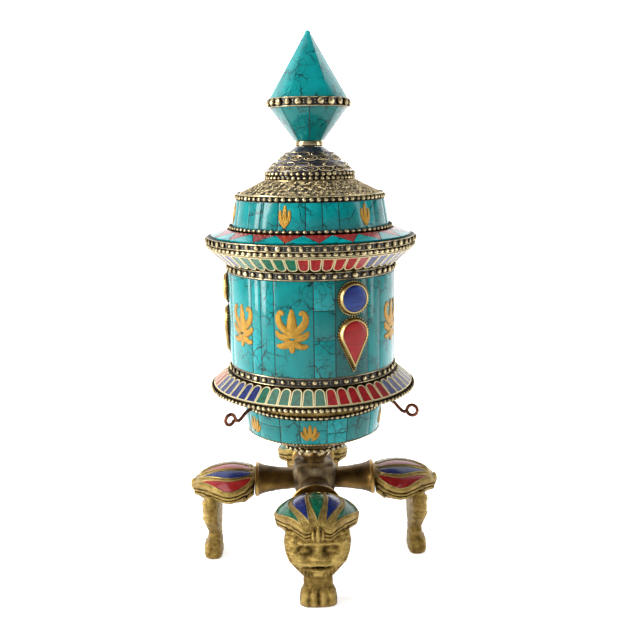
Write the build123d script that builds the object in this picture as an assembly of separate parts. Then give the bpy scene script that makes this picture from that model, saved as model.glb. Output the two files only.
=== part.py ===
from build123d import *

import os
from math import acos, cos, radians, sin

# A table prayer wheel: a stone-inlaid brass drum that turns on a spindle, on a cross of four legs.
#
# Millimetres. +Z is the spindle axis, z = 0 is the table under the four paws, and one leg points along
# each of -Y (front), +X (right), +Y (back) and -X (left). An angle on the drum is counted from the front,
# anticlockwise seen from above.

# ---- driving dimensions -------------------------------------------------------------------------
TOTAL_HEIGHT = 240.0
GLUE = 0.05  # bed between two pieces that are glued, soldered or pressed together
RUN_GAP = 0.06  # radial play of the spindle in its two bushes
LID_GAP = 0.15  # play between the lid's spigot and the barrel

SPINDLE_R = 3.0
SPINDLE_BOTTOM = 23.5
SPINDLE_TOP = 175.5

# base
HUB_HALF = 9.5
HUB_BOTTOM = 30.0
HUB_TOP = 46.5
ARM_Z = 37.2  # height of the four arms' axes
ARM_STATIONS = [  # distance from the axis, half width, half height
    (HUB_HALF + GLUE, 6.6, 4.6),
    (17.0, 7.4, 5.1),
    (23.5, 8.8, 6.0),
    (26.2, 10.2, 7.0),
]
COLLAR_IN = 26.2
COLLAR_OUT = 27.9
COLLAR_HALF_W = 10.6
COLLAR_HALF_H = 7.4
BOWL_R = 8.6
BOWL_TOP = 54.0
WASHER_TOP = 54.8

# legs
SHELL_NEAR = COLLAR_OUT + GLUE
SHELL_TIP = 59.3
SHELL_OUTLINE = [  # distance from the axis, half width, from the collar to the notched tip
    (SHELL_NEAR, 8.6),
    (31.5, 13.6),
    (35.5, 17.4),
    (39.0, 18.5),
    (43.5, 17.3),
    (57.0, 5.8),
    (55.4, 3.6),
    (56.0, 1.9),
    (SHELL_TIP, 1.3),
]
SHELL_BOTTOM = 31.5
DOME_CENTRE_R = 39.5
DOME_TOP = 44.0
DOME_R = 27.5
STRIPE_DEPTH = 0.8
STRIPE_EDGES = [4.2, 12.6, 20.6]  # degrees of tilt of the brass lines between the five stripes
STRIPE_LINE = 1.1  # degrees of tilt that half a brass line takes
LEG_IN = 44.4
LEG_OUT = 51.4
PAW_OUT = 52.9
MASK_OUTLINE = [(13.4, 32.0), (13.0, 27.5), (12.0, 21.8), (6.3, 14.2), (6.1, 8.0)]
PAW_HALF_W = 8.0
PAW_TOP = 8.6

# drum, from the bottom up; every radius is to the outside of the brass unless it says stone
FLOOR_Z = 56.5
FLOOR_R = 13.4
SHEET = 1.2
STONE = 1.0  # thickness of the chips
INLAY = 0.6  # thickness of the petals and triangles
BUSH_R = 5.0
CUP_BOTTOM_Z = 64.4
CUP_TOP_Z = 76.4
CUP_BOTTOM_R = 29.7
CUP_TOP_R = 31.0
NECK_TOP_Z = 80.4
FLANGE_R = 45.4
BARREL_R = 36.35
BARREL_BORE = 35.1
BARREL_BOTTOM_Z = 83.5
BARREL_TOP_Z = 141.5
BARREL_STONE_R = 37.5
BARREL_STONE_Z = (96.2, 137.4)
BARREL_BAND_R = 37.2
# visible faces that stones lie on, as two (radius, height) points with the metal on the left
LOWER_CONE = [(45.2, 86.3), (38.2, 92.2)]  # top of the lower flange
UPPER_CONE = [(38.6, 141.8), (45.2, 147.5)]  # underside of the upper flange
TOP_CONE = [(45.2, 153.6), (36.4, 156.4)]  # top of the upper flange
CUP_STONE_WALL = [(30.75, 64.7), (32.0, 76.0)]
LID_STONE_WALL = [(35.0, 157.7), (33.05, 169.1)]
PETALS = 54
PETAL_GROUP = 6
PETAL_FILL = 0.80  # share of a petal's pitch that is stone, the rest being brass line
TRIANGLES = 20
UPPER_PETAL_START = -48.6  # angle where a malachite group starts
LOWER_PETAL_START = -33.9
TRIANGLE_APEX = 3.5
SET_ANGLE = 26.0  # first of three pairs of set stones
STAVES = [23.3, 12.8, 26.0, 8.0, 10.0, 25.9, 14.0]  # widths of the barrel's staves over a third of a turn
BARREL_ORNAMENT_ANGLES = [66.0, 106.0]
BARREL_ORNAMENT_Z = 116.5
LID_ORNAMENT_ANGLE = -19.0
CUP_ORNAMENT_ANGLES = [-57.0, -4.0, 76.0, 130.0, 185.0, 245.0]
EYELET_ANGLES = [-51.0, 70.0, 190.0]

# set stones
BEZEL_OUT_R = 39.7
ROUND_Z = 129.6
ROUND_R = 7.2
DROP_Z = 114.4
DROP_R = 7.2
DROP_TIP_Z = 98.0
BEZEL_WALL = 1.7

# eyelets of copper wire
WIRE_R = 0.78
EYE_R = 2.4
EYE_AT = (46.9, 76.0)

# lid
SPIGOT_BOTTOM = 132.0
RIM_BAND = (150.25, 153.1)  # bead band on the lid flange's rim, bottom and top
LID_WALL = [(33.85, 157.2), (31.8, 169.4)]
SHOULDER = [(31.4, 170.6), (19.2, 176.8)]
LID_PLATE_Z = 177.6
CAP_PROFILE = [(18.4, 180.3), (17.9, 182.1), (15.8, 184.0), (12.7, 186.5), (9.4, 189.1), (6.6, 191.3)]
NECK_Z = (191.35, 193.85)
NECK_R = 6.2
FINIAL_R = 17.0
FINIAL_BOTTOM_R = 6.6
FINIAL_BAND_Z = (207.9, 211.8)
POST_R = 2.4
UPPER_SIDES = 6
LOWER_SIDES = 8
UPPER_TURN = 0.0  # puts a flat of the upper pyramid to the front
LOWER_TURN = 0.0  # puts an edge of the lower one to the front


# ---- helpers ------------------------------------------------------------------------------------
def turned(points, start=0.0, arc=360.0):
    """A closed section of (radius, height) points, turned about the spindle axis from an angle."""
    section = Plane.XZ * Polygon(*points, align=None)
    return Rot(0, 0, start - 90) * revolve(section, Axis.Z, arc)


def ring_wire(radius, z, wire_r):
    return Pos(0, 0, z) * Torus(radius, wire_r)


def facing(shape, angle):
    """Turns a piece that was built facing the front to its angle on the drum."""
    return Rot(0, 0, angle) * shape


def at_front(shape, distance):
    """Stands a flat-drawn piece up so that its face looks out to the front, from a distance."""
    return Pos(0, -distance, 0) * Rot(90, 0, 0) * shape


def prism(outline, height):
    return extrude(outline, height, dir=(0, 0, 1))


def set_back(line, depth, trim=0.0):
    """A (radius, height) line moved into the metal on its left, and shortened at both ends."""
    (r0, z0), (r1, z1) = line
    length = ((r1 - r0) ** 2 + (z1 - z0) ** 2) ** 0.5
    ar, az = (r1 - r0) / length, (z1 - z0) / length
    start = (r0 - az * depth + ar * trim, z0 + ar * depth + az * trim)
    end = (r1 - az * depth - ar * trim, z1 + ar * depth - az * trim)
    return [start, end]


def layer(line, thickness, trim=0.0, start=0.0, arc=360.0):
    """Stone of one thickness that lies in from a visible line."""
    outside, inside = set_back(line, 0, trim), set_back(line, thickness, trim)
    return turned([*outside, *reversed(inside)], start, arc)


def bead_band(radius, z_low, z_high, bead_r):
    """A strip with a half-round rib that stands for its row of beads."""
    middle = (z_low + z_high) / 2
    strip = turned([(radius - 0.8, z_low), (radius, z_low), (radius, z_high), (radius - 0.8, z_high)])
    rib = ring_wire(radius, middle, bead_r)
    hole = Pos(0, 0, middle) * Cylinder(radius - 0.8, z_high - z_low + 1)
    return strip + (rib - hole)


def teardrop(radius, centre_z, tip_z):
    """A flat teardrop with its point down: a circle and the triangle that its tangents make."""
    drop = centre_z - tip_z
    turn = acos(radius / drop)
    x, y = radius * sin(turn), centre_z - radius * cos(turn)
    tail = Polygon((x, y), (-x, y), (0, tip_z), align=None)
    return Pos(0, centre_z) * Circle(radius) + tail


def radial_prism(outline, inner, outer):
    """An outline drawn in (sideways, height), pushed out to the front between two distances."""
    return at_front(prism(outline, outer - inner), inner)


# ---- base ---------------------------------------------------------------------------------------
def cross_hub():
    block = Pos(0, 0, (HUB_BOTTOM + HUB_TOP) / 2) * Box(2 * HUB_HALF, 2 * HUB_HALF, HUB_TOP - HUB_BOTTOM)
    block = fillet(block.edges().filter_by(Axis.Z), 3.0)
    block = chamfer(block.faces().sort_by(Axis.Z)[-1].edges(), 1.6)
    return block - Pos(0, 0, HUB_BOTTOM) * Cylinder(SPINDLE_R + GLUE, 60)


def arm():
    """A trumpet-shaped arm of oval section with a collar, built towards the front."""
    sections = [
        Plane(origin=(0, -distance, ARM_Z), x_dir=(1, 0, 0), z_dir=(0, -1, 0)) * Ellipse(half_w, half_h)
        for distance, half_w, half_h in ARM_STATIONS
    ]
    body = loft(sections)
    collar = Ellipse(COLLAR_HALF_W, COLLAR_HALF_H)
    collar = Pos(0, -COLLAR_IN, ARM_Z) * Rot(90, 0, 0) * extrude(collar, COLLAR_OUT - COLLAR_IN)
    return body + fillet(collar.edges(), 0.5)


def shell_outline():
    """Plan of the domed shell at the end of an arm, drawn towards the front."""
    right = [(half_w, -distance) for distance, half_w in SHELL_OUTLINE]
    left = [(-x, y) for x, y in reversed(right)]
    return Polygon(*right, *left, align=None)


def dome(radius):
    return Pos(0, -DOME_CENTRE_R, DOME_TOP - DOME_R) * Sphere(radius)


def stripe(tilt_low, tilt_high):
    """A lens of stone in the dome, between two planes through the line from collar to tip."""
    reach = 40.0
    poles = ARM_Z - 1.2  # height of the line where all the planes meet
    low, high = radians(tilt_low), radians(tilt_high)
    fan = Polygon(
        (0, 0), (reach * sin(low), reach * cos(low)), (reach * sin(high), reach * cos(high)), align=None
    )
    length = SHELL_TIP - SHELL_NEAR - 7.5
    wedge = Pos(0, -SHELL_NEAR - 3.0, poles) * Rot(90, 0, 0) * prism(fan, length)
    return (dome(DOME_R) - dome(DOME_R - STRIPE_DEPTH)) & wedge


def stripes(steepness):
    """Five stripes, outermost first, each as (place in the row, solid)."""
    edges = [-e * steepness for e in reversed(STRIPE_EDGES)] + [e * steepness for e in STRIPE_EDGES]
    line = STRIPE_LINE * steepness
    return [(i, stripe(a + line, b - line)) for i, (a, b) in enumerate(zip(edges[:-1], edges[1:]))]


def leg(inlays):
    """One casting: the domed shell, the mask and leg below its outer end, and the paw."""
    outline = Pos(0, 0, SHELL_BOTTOM) * shell_outline()
    shell = prism(outline, DOME_TOP - SHELL_BOTTOM) & dome(DOME_R)
    for _, stone in inlays:
        shell -= stone
    right = MASK_OUTLINE
    left = [(-x, z) for x, z in reversed(right)]
    plate = radial_prism(Polygon(*right, *left, align=None), LEG_IN, LEG_OUT)
    paw = Pos(0, -(LEG_IN + PAW_OUT) / 2, PAW_TOP / 2) * Box(2 * PAW_HALF_W, PAW_OUT - LEG_IN, PAW_TOP)
    paw = fillet(paw.edges().filter_by(Axis.Z), 2.5)
    paw = fillet(paw.faces().sort_by(Axis.Z)[-1].edges(), 2.0)
    return shell + plate + paw


def bearing_bowl():
    """The bright turned bowl that carries the drum on the hub."""
    foot = HUB_TOP + GLUE
    profile = Polyline((SPINDLE_R + GLUE, BOWL_TOP), (SPINDLE_R + GLUE, foot), (5.2, foot), (5.2, foot + 0.6))
    side = ThreePointArc((5.2, foot + 0.6), (7.9, foot + 3.4), (BOWL_R, BOWL_TOP - 0.8))
    rim = Polyline((BOWL_R, BOWL_TOP - 0.8), (BOWL_R, BOWL_TOP), (SPINDLE_R + GLUE, BOWL_TOP))
    section = Plane.XZ * make_face(profile + side + rim)
    return revolve(section, Axis.Z)


def thrust_washer():
    bore = SPINDLE_R + GLUE
    return turned([(bore, BOWL_TOP + 0.02), (7.4, BOWL_TOP + 0.02), (7.4, WASHER_TOP), (bore, WASHER_TOP)])


def spindle():
    rod = Cylinder(SPINDLE_R, SPINDLE_TOP - SPINDLE_BOTTOM, align=(Align.CENTER, Align.CENTER, Align.MIN))
    rod = Pos(0, 0, SPINDLE_BOTTOM) * rod
    rod = chamfer(rod.faces().sort_by(Axis.Z)[0].edges(), 0.6)
    return fillet(rod.faces().sort_by(Axis.Z)[-1].edges(), 2.0)


def spindle_nut():
    height, across_flats = 5.0, 10.0
    nut = extrude(RegularPolygon(across_flats / 2, 6, major_radius=False), height)
    washer = Pos(0, 0, height) * extrude(Circle(7.0), 0.9)
    nut = Pos(0, 0, HUB_BOTTOM - GLUE - height - 0.9) * (nut + washer)
    return nut - Pos(0, 0, HUB_BOTTOM) * Cylinder(SPINDLE_R + GLUE, 30)


# ---- drum ---------------------------------------------------------------------------------------
def drum_cup():
    """Spun cup below the lower flange, with its dished floor and a lip that the flange sits on."""
    bore = BUSH_R + GLUE
    return turned(
        [
            (bore, FLOOR_Z),
            (FLOOR_R, FLOOR_Z),
            (CUP_BOTTOM_R - 0.8, CUP_BOTTOM_Z - 1.0),
            (CUP_BOTTOM_R, CUP_BOTTOM_Z),
            (CUP_TOP_R, CUP_TOP_Z),
            (CUP_TOP_R, NECK_TOP_Z),
            (34.4, NECK_TOP_Z),
            (34.4, NECK_TOP_Z + SHEET),
            (CUP_TOP_R - SHEET, NECK_TOP_Z + SHEET),
            (CUP_TOP_R - SHEET, CUP_TOP_Z),
            (CUP_BOTTOM_R - SHEET, CUP_BOTTOM_Z + 0.5),
            (CUP_BOTTOM_R - SHEET - 0.7, CUP_BOTTOM_Z - 0.2),
            (FLOOR_R - 0.4, FLOOR_Z + SHEET),
            (bore, FLOOR_Z + SHEET),
        ]
    )


def lower_bush():
    bore = SPINDLE_R + RUN_GAP
    seat = WASHER_TOP + 0.1
    return turned(
        [(bore, seat), (7.8, seat), (7.8, FLOOR_Z - GLUE), (BUSH_R, FLOOR_Z - GLUE), (BUSH_R, 65.0), (bore, 65.0)]
    )


def lower_flange():
    """Collar below the barrel: a sloping face for the petals, set back by their thickness."""
    rim_r, rim_z = LOWER_CONE[0]
    bed = set_back(LOWER_CONE, INLAY + GLUE)
    return turned(
        [
            *bed,
            (BARREL_R + GLUE, bed[1][1]),
            (BARREL_R + GLUE, BARREL_BOTTOM_Z - GLUE),
            (34.5, BARREL_BOTTOM_Z - GLUE),
            (34.5, NECK_TOP_Z + SHEET + GLUE),
            (FLANGE_R, rim_z - 2.5),
            (FLANGE_R, bed[0][1]),
        ]
    )


def petals(cone, start):
    """Every petal of a flange, as (place round the flange, solid)."""
    pitch = 360.0 / PETALS
    width = pitch * PETAL_FILL
    edge = (pitch - width) / 2
    return [(i, layer(cone, INLAY, 0.4, start + i * pitch + edge, width)) for i in range(PETALS)]


def petal_group(all_petals, place):
    """The petals of one stone; the groups follow each other round as malachite, coral and lapis."""
    return [solid for i, solid in all_petals if (i // PETAL_GROUP) % 3 == place]


def barrel_tube():
    return turned(
        [
            (BARREL_BORE, BARREL_BOTTOM_Z),
            (BARREL_R, BARREL_BOTTOM_Z),
            (BARREL_R, BARREL_TOP_Z),
            (BARREL_BORE, BARREL_TOP_Z),
        ]
    )


def round_bezel():
    outside = radial_prism(Pos(0, ROUND_Z) * Circle(ROUND_R), BARREL_R - 2, BEZEL_OUT_R)
    pocket = radial_prism(Pos(0, ROUND_Z) * Circle(ROUND_R - BEZEL_WALL), BARREL_R + 1.2, BEZEL_OUT_R + 1)
    return outside, pocket


def drop_bezel():
    outside = radial_prism(teardrop(DROP_R, DROP_Z, DROP_TIP_Z), BARREL_R - 2, BEZEL_OUT_R)
    inner_tip = DROP_TIP_Z + BEZEL_WALL * (DROP_Z - DROP_TIP_Z) / DROP_R
    inner = teardrop(DROP_R - BEZEL_WALL, DROP_Z, inner_tip)
    pocket = radial_prism(inner, BARREL_R + 1.2, BEZEL_OUT_R + 1)
    return outside, pocket


def set_stones(bezel):
    """Three bezels of a kind and the stones in them."""
    outside, pocket = bezel
    tube = Pos(0, 0, ROUND_Z) * Cylinder(BARREL_R + GLUE, 100)
    frame = outside - tube - pocket
    stone = pocket & Pos(0, 0, ROUND_Z) * Cylinder(BEZEL_OUT_R + 0.25, 100)
    angles = [SET_ANGLE + 120 * k for k in range(3)]
    return [facing(frame, a) for a in angles], [facing(stone, a) for a in angles]


def barrel_ornaments():
    plaque = radial_prism(Pos(0, BARREL_ORNAMENT_Z) * Ellipse(6.0, 8.2), BARREL_R - 2, BARREL_R + 3)
    ring = turned(
        [
            (BARREL_R + GLUE, 100),
            (BARREL_STONE_R + 0.1, 100),
            (BARREL_STONE_R + 0.1, 130),
            (BARREL_R + GLUE, 130),
        ]
    )
    plaque = plaque & ring
    return [facing(plaque, a + 120 * k) for k in range(3) for a in BARREL_ORNAMENT_ANGLES]


def barrel_stones(cutters):
    """Staves of turquoise, pierced where the bezels and ornaments sit in them."""
    low, high = BARREL_STONE_Z
    inner = BARREL_R + GLUE
    line = 0.35  # degrees of dark filler between two staves
    found = []
    for third in range(3):
        edge = SET_ANGLE - STAVES[0] / 2 + 120 * third
        for width in STAVES:
            section = [(inner, low), (BARREL_STONE_R, low), (BARREL_STONE_R, high), (inner, high)]
            stave = turned(section, edge + line / 2, width - line)
            edge += width
            for cutter in cutters:
                if stave.bounding_box().overlaps(cutter.bounding_box()):
                    stave -= cutter
            found += stave.solids()
    return found


def eyelet():
    """A copper wire soldered to the neck, bent down and up again into an open eye."""
    r_eye, z_eye = EYE_AT
    run = [(CUP_TOP_R + 0.12, 79.3), (36.6, 79.0), (41.6, 75.3), (r_eye - EYE_R, z_eye + 0.9)]
    path = FilletPolyline(*[(0, -r, z) for r, z in run], radius=1.8)
    start = Plane(origin=path @ 0, z_dir=path % 0)
    shank = sweep(start * Circle(WIRE_R), path=path)
    eye = Pos(0, -r_eye, z_eye) * Rot(0, 90, 0) * Torus(EYE_R, WIRE_R)
    return shank + eye


def mantra_scroll():
    """The roll of printed paper inside the barrel, standing on the cup's lip."""
    low = NECK_TOP_Z + SHEET + 0.1
    return turned([(4.5, low), (31.4, low), (31.4, 163.0), (4.5, 163.0)])


# ---- lid ----------------------------------------------------------------------------------------
def upper_flange():
    """Rim of the lid, with the spigot that slips into the barrel."""
    spigot_r = BARREL_BORE - LID_GAP
    seat = BARREL_TOP_Z + 0.15
    under = set_back(UPPER_CONE, INLAY + GLUE)
    top = set_back(TOP_CONE, INLAY + GLUE)
    wall_foot = LID_WALL[0][1] - GLUE
    return turned(
        [
            (spigot_r - SHEET, SPIGOT_BOTTOM),
            (spigot_r, SPIGOT_BOTTOM),
            (spigot_r, seat),
            (under[0][0], seat),
            *under,
            (FLANGE_R, under[1][1]),
            (FLANGE_R, top[0][1]),
            *top,
            (34.2, top[1][1] + 0.3),
            (34.2, wall_foot),
            (spigot_r - SHEET, wall_foot),
        ]
    )


def flange_triangles():
    """The zigzag ring on top of the flange: coral points outwards, turquoise points inwards."""
    trim, line_width = 0.8, 0.3
    ring = layer(TOP_CONE, INLAY, trim)
    outer, inner = (point[0] for point in set_back(TOP_CONE, 0, trim))
    pitch = 360.0 / TRIANGLES
    for i in range(TRIANGLES):
        for side in (-1, 1):
            apex = radians(TRIANGLE_APEX + i * pitch)
            base = apex + side * radians(pitch / 2)
            out = Vector(outer * sin(apex), -outer * cos(apex), 0)
            inn = Vector(inner * sin(base), -inner * cos(base), 0)
            middle = (out + inn) * 0.5 + Vector(0, 0, TOP_CONE[0][1])
            along = Plane(origin=middle, x_dir=out - inn, z_dir=(0, 0, 1))
            ring -= along * Box((out - inn).length + 0.8, line_width, 12)
    solids = sorted(ring.solids(), key=lambda s: s.volume, reverse=True)[: 2 * TRIANGLES]
    middle_r = (inner + outer) / 2
    coral = [s for s in solids if s.center().X ** 2 + s.center().Y ** 2 < middle_r**2]
    turquoise = [s for s in solids if s not in coral]
    return coral, turquoise


def lid_shell():
    """Spun brass lid: the leaning wall, the sloping shoulder and the flat that takes the top bush."""
    (r0, z0), (r1, z1) = LID_WALL
    (s0, sz0), (s1, sz1) = SHOULDER
    bore = BUSH_R + GLUE
    return turned(
        [
            (r0, z0),
            (r1, z1),
            (s0, sz0),
            (s1, sz1),
            (16.0, LID_PLATE_Z),
            (bore, LID_PLATE_Z),
            (bore, LID_PLATE_Z - 1.0),
            (15.6, LID_PLATE_Z - 1.0),
            (s1 - 0.5, sz1 - 1.0),
            (s0 - 0.7, sz0 - 0.9),
            (r1 - 1.0, z1 - 0.3),
            (r0 - 1.0, z0),
        ]
    )


def wall_stones(wall, widths, cutters, start):
    """Chips of turquoise round a leaning wall, from a list of widths in degrees."""
    found, edge, line = [], start, 0.45
    for width in widths:
        chip = layer(wall, STONE, 0, edge + line / 2, width - line)
        edge += width
        for cutter in cutters:
            if chip.bounding_box().overlaps(cutter.bounding_box()):
                chip -= cutter
        found += chip.solids()
    return found


def wall_ornaments(wall, angles, half_w, half_h):
    """Small brass plaques let into the chips of a leaning wall."""
    proud = 0.08
    (r0, z0), (r1, z1) = wall
    band = layer(set_back(wall, -proud), STONE + proud)
    outline = Pos(0, (z0 + z1) / 2) * Ellipse(half_w, half_h)
    plaque = radial_prism(outline, min(r0, r1) - 4, max(r0, r1) + 2)
    return [facing(plaque & band, a) for a in angles]


def shoulder_filigree():
    (s0, z0), (s1, z1) = SHOULDER
    return turned([(s0, z0 + 0.06), (s0, z0 + 0.55), (s1, z1 + 0.55), (s1, z1 + 0.06)])


def top_bush():
    """Blind bush in the lid that the spindle's rounded end runs in."""
    bore = SPINDLE_R + RUN_GAP
    return turned(
        [
            (0, 176.2),
            (bore, 176.2),
            (bore, 168.0),
            (BUSH_R, 168.0),
            (BUSH_R, LID_PLATE_Z + GLUE),
            (7.0, LID_PLATE_Z + GLUE),
            (7.0, LID_PLATE_Z + 1.0),
            (0, LID_PLATE_Z + 1.0),
        ]
    )


def cap_dome():
    """Domed cap with a hole for the finial's post."""
    hole = POST_R + GLUE
    inner = [(r - 0.8, z - 0.7) for r, z in reversed(CAP_PROFILE[1:])]
    low_r, low_z = CAP_PROFILE[0]
    top_z = CAP_PROFILE[-1][1]
    return turned(
        [(17.2, 177.9), (low_r, 177.9), *CAP_PROFILE, (hole, top_z), (hole, top_z - 0.8), *inner, (17.2, low_z)]
    )


def neck_ring():
    low, high = NECK_Z
    hole = POST_R + GLUE
    ring = turned([(hole, low), (NECK_R, low), (NECK_R, high), (hole, high)])
    return fillet([e for e in ring.edges() if e.length > 35], 0.6)


def pyramid(sides, low, high, turn):
    """A faceted solid between two (corner radius, height) pairs, or up to a point."""
    (r0, z0), (r1, z1) = low, high
    faces = [
        Pos(0, 0, z) * Rot(0, 0, turn) * RegularPolygon(r, sides, major_radius=True) for r, z in ((r0, z0), (r1, z1))
    ]
    return loft(faces)


def split_facets(solid, sides, turn):
    """Cuts a faceted shell into its slabs along its corners."""
    slabs = []
    half = 180.0 / sides
    reach = 40.0
    for k in range(sides):
        middle = turn + half + 360.0 / sides * k
        a, b = radians(middle - half), radians(middle + half)
        fan = Polygon((0, 0), (reach * cos(a), reach * sin(a)), (reach * cos(b), reach * sin(b)), align=None)
        step = Vector(0.12 * cos(radians(middle)), 0.12 * sin(radians(middle)), 0)
        wedge = Pos(step.X, step.Y, 190) * extrude(fan, 60)
        slabs += (solid & wedge).solids()
    return slabs


def finial_core():
    """Turned core inside the stone slabs, with the post that holds finial, neck ring and cap."""
    band_low, band_high = FINIAL_BAND_Z
    waist = 13.2
    core = turned(
        [
            (0, NECK_Z[1] + GLUE),
            (4.2, NECK_Z[1] + GLUE),
            (waist, band_low),
            (waist, band_high),
            (0.6, TOTAL_HEIGHT - 4.2),
            (0, TOTAL_HEIGHT - 4.2),
        ]
    )
    post = Pos(0, 0, 187.0) * Cylinder(POST_R, 16.0)
    return core + post


def finial_slabs():
    core = finial_core()
    band_low, band_high = FINIAL_BAND_Z
    tip = (0.7, TOTAL_HEIGHT - 0.4)
    upper = pyramid(UPPER_SIDES, (FINIAL_R, band_high + GLUE), tip, UPPER_TURN)
    tip_ball = Pos(0, 0, TOTAL_HEIGHT - 1.3) * Sphere(1.3)
    shell = (upper + tip_ball) - core
    lower_end = (FINIAL_BOTTOM_R, NECK_Z[1] + GLUE)
    lower = pyramid(LOWER_SIDES, lower_end, (FINIAL_R, band_low - GLUE), LOWER_TURN) - core
    lower = split_facets(lower, LOWER_SIDES, LOWER_TURN)
    return shell.solids(), lower


def finial_beads():
    low, high = FINIAL_BAND_Z
    band = turned([(13.3, low), (FINIAL_R + 0.1, low), (FINIAL_R + 0.1, high), (13.3, high)])
    rib = ring_wire(FINIAL_R - 0.4, (low + high) / 2, 1.6)
    hole = Pos(0, 0, (low + high) / 2) * Cylinder(FINIAL_R - 1, 6)
    return band + (rib - hole)


# ---- assembly -----------------------------------------------------------------------------------
def base_nodes():
    nodes = {"cross_hub": cross_hub(), "spindle": spindle(), "spindle_nut": spindle_nut()}
    nodes["bearing_bowl"] = bearing_bowl()
    nodes["thrust_washer"] = thrust_washer()
    groups = {"coral": [], "lapis": [], "malachite": []}
    sides = {"front": (0, "malachite"), "right": (90, "coral"), "back": (180, "malachite"), "left": (270, "coral")}
    inlays = stripes(2.9)
    front_leg, front_arm = leg(inlays), arm()
    for side, (angle, outer_stone) in sides.items():
        turn = Rot(0, 0, angle)
        nodes["arm_" + side] = turn * front_arm
        nodes["leg_" + side] = turn * front_leg
        for i, stone in inlays:
            groups[outer_stone if i % 2 == 0 else "lapis"].append(turn * stone)
    for stone, solids in groups.items():
        nodes["shell_stripes_" + stone] = solids
    return nodes


def drum_nodes():
    ornaments = barrel_ornaments()
    round_frames, round_stones = set_stones(round_bezel())
    drop_frames, drop_stones = set_stones(drop_bezel())
    footprints = [facing(shape[0], SET_ANGLE + 120 * k) for shape in (round_bezel(), drop_bezel()) for k in range(3)]
    cup_plaques = wall_ornaments(CUP_STONE_WALL, CUP_ORNAMENT_ANGLES, 3.4, 4.2)
    low_petals = petals(LOWER_CONE, LOWER_PETAL_START)
    return {
        "drum_cup": drum_cup(),
        "cup_stones": wall_stones(CUP_STONE_WALL, [22.0, 14.0, 20.0, 16.0] * 5, cup_plaques, -13.0),
        "cup_ornaments": cup_plaques,
        "cup_foot_beads": ring_wire(14.4, FLOOR_Z - 0.75, 1.05),
        "cup_rim_beads": ring_wire(CUP_TOP_R + 0.85, CUP_TOP_Z + 0.5, 0.8),
        "lower_bush": lower_bush(),
        "lower_flange": lower_flange(),
        "lower_petals_malachite": petal_group(low_petals, 0),
        "lower_petals_coral": petal_group(low_petals, 1),
        "lower_petals_lapis": petal_group(low_petals, 2),
        "lower_rim_beads": ring_wire(FLANGE_R + 0.8, 84.9, 0.75),
        "barrel_tube": barrel_tube(),
        "barrel_stones": barrel_stones(ornaments + footprints),
        "barrel_top_beads": bead_band(BARREL_BAND_R, BARREL_STONE_Z[1] + 0.1, 140.9, 1.2),
        "barrel_bottom_beads": bead_band(BARREL_BAND_R, LOWER_CONE[1][1] + 0.1, BARREL_STONE_Z[0] - 0.1, 1.2),
        "barrel_ornaments": ornaments,
        "round_bezels": round_frames,
        "round_cabochons": round_stones,
        "drop_bezels": drop_frames,
        "drop_cabochons": drop_stones,
        "hanging_eyelets": [facing(eyelet(), a) for a in EYELET_ANGLES],
        "mantra_scroll": mantra_scroll(),
    }


def lid_nodes():
    high_petals = petals(UPPER_CONE, UPPER_PETAL_START)
    coral, turquoise = flange_triangles()
    plaques = wall_ornaments(LID_STONE_WALL, [LID_ORNAMENT_ANGLE + 60 * k for k in range(6)], 2.6, 4.9)
    slabs_upper, slabs_lower = finial_slabs()
    rim_low, rim_high = RIM_BAND
    return {
        "upper_flange": upper_flange(),
        "upper_petals_malachite": petal_group(high_petals, 0),
        "upper_petals_coral": petal_group(high_petals, 1),
        "upper_petals_lapis": petal_group(high_petals, 2),
        "flange_triangles_coral": coral,
        "flange_triangles_turquoise": turquoise,
        "flange_rim_beads": bead_band(FLANGE_R + 0.85, rim_low, rim_high, 0.9),
        "flange_under_beads": ring_wire(FLANGE_R + 0.75, rim_low - 1.0, 0.7),
        "flange_inner_beads": ring_wire(35.95, 157.2, 0.72),
        "lid_shell": lid_shell(),
        "lid_stones": wall_stones(LID_STONE_WALL, [17.0, 11.0, 16.0, 12.0, 11.0, 23.0] * 4, plaques, -24.0),
        "lid_ornaments": plaques,
        "lid_edge_beads": ring_wire(32.75, 170.1, 0.8),
        "shoulder_filigree": shoulder_filigree(),
        "top_bush": top_bush(),
        "cap_dome": cap_dome(),
        "cap_beads": [ring_wire(19.35, 180.0, 0.85), ring_wire(19.35, 178.2, 0.85)],
        "neck_ring": neck_ring(),
        "finial_core": finial_core(),
        "finial_upper_stones": slabs_upper,
        "finial_lower_stones": slabs_lower,
        "finial_beads": finial_beads(),
    }


def main():
    os.makedirs("parts", exist_ok=True)
    for nodes in (base_nodes(), drum_nodes(), lid_nodes()):
        for name, shape in nodes.items():
            if isinstance(shape, list):
                shape = Compound(children=[s for piece in shape for s in piece.solids()])
            export_step(shape, f"parts/{name}.step")


main()
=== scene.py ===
"""Looks of a table prayer wheel: cast brass legs, and a drum and lid of brass set with polished stone.

Shapes are drawn in millimetres in the frame of the CAD parts and turned to metres when a piece is made. An
angle round the spindle is counted in degrees from the front leg, which points along -Y, towards +X.
"""

import random
from math import acos, ceil, cos, exp, hypot, pi, radians, sin, sqrt, tau

import bmesh
import bpy
from mathutils import Matrix, Vector, noise


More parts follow.
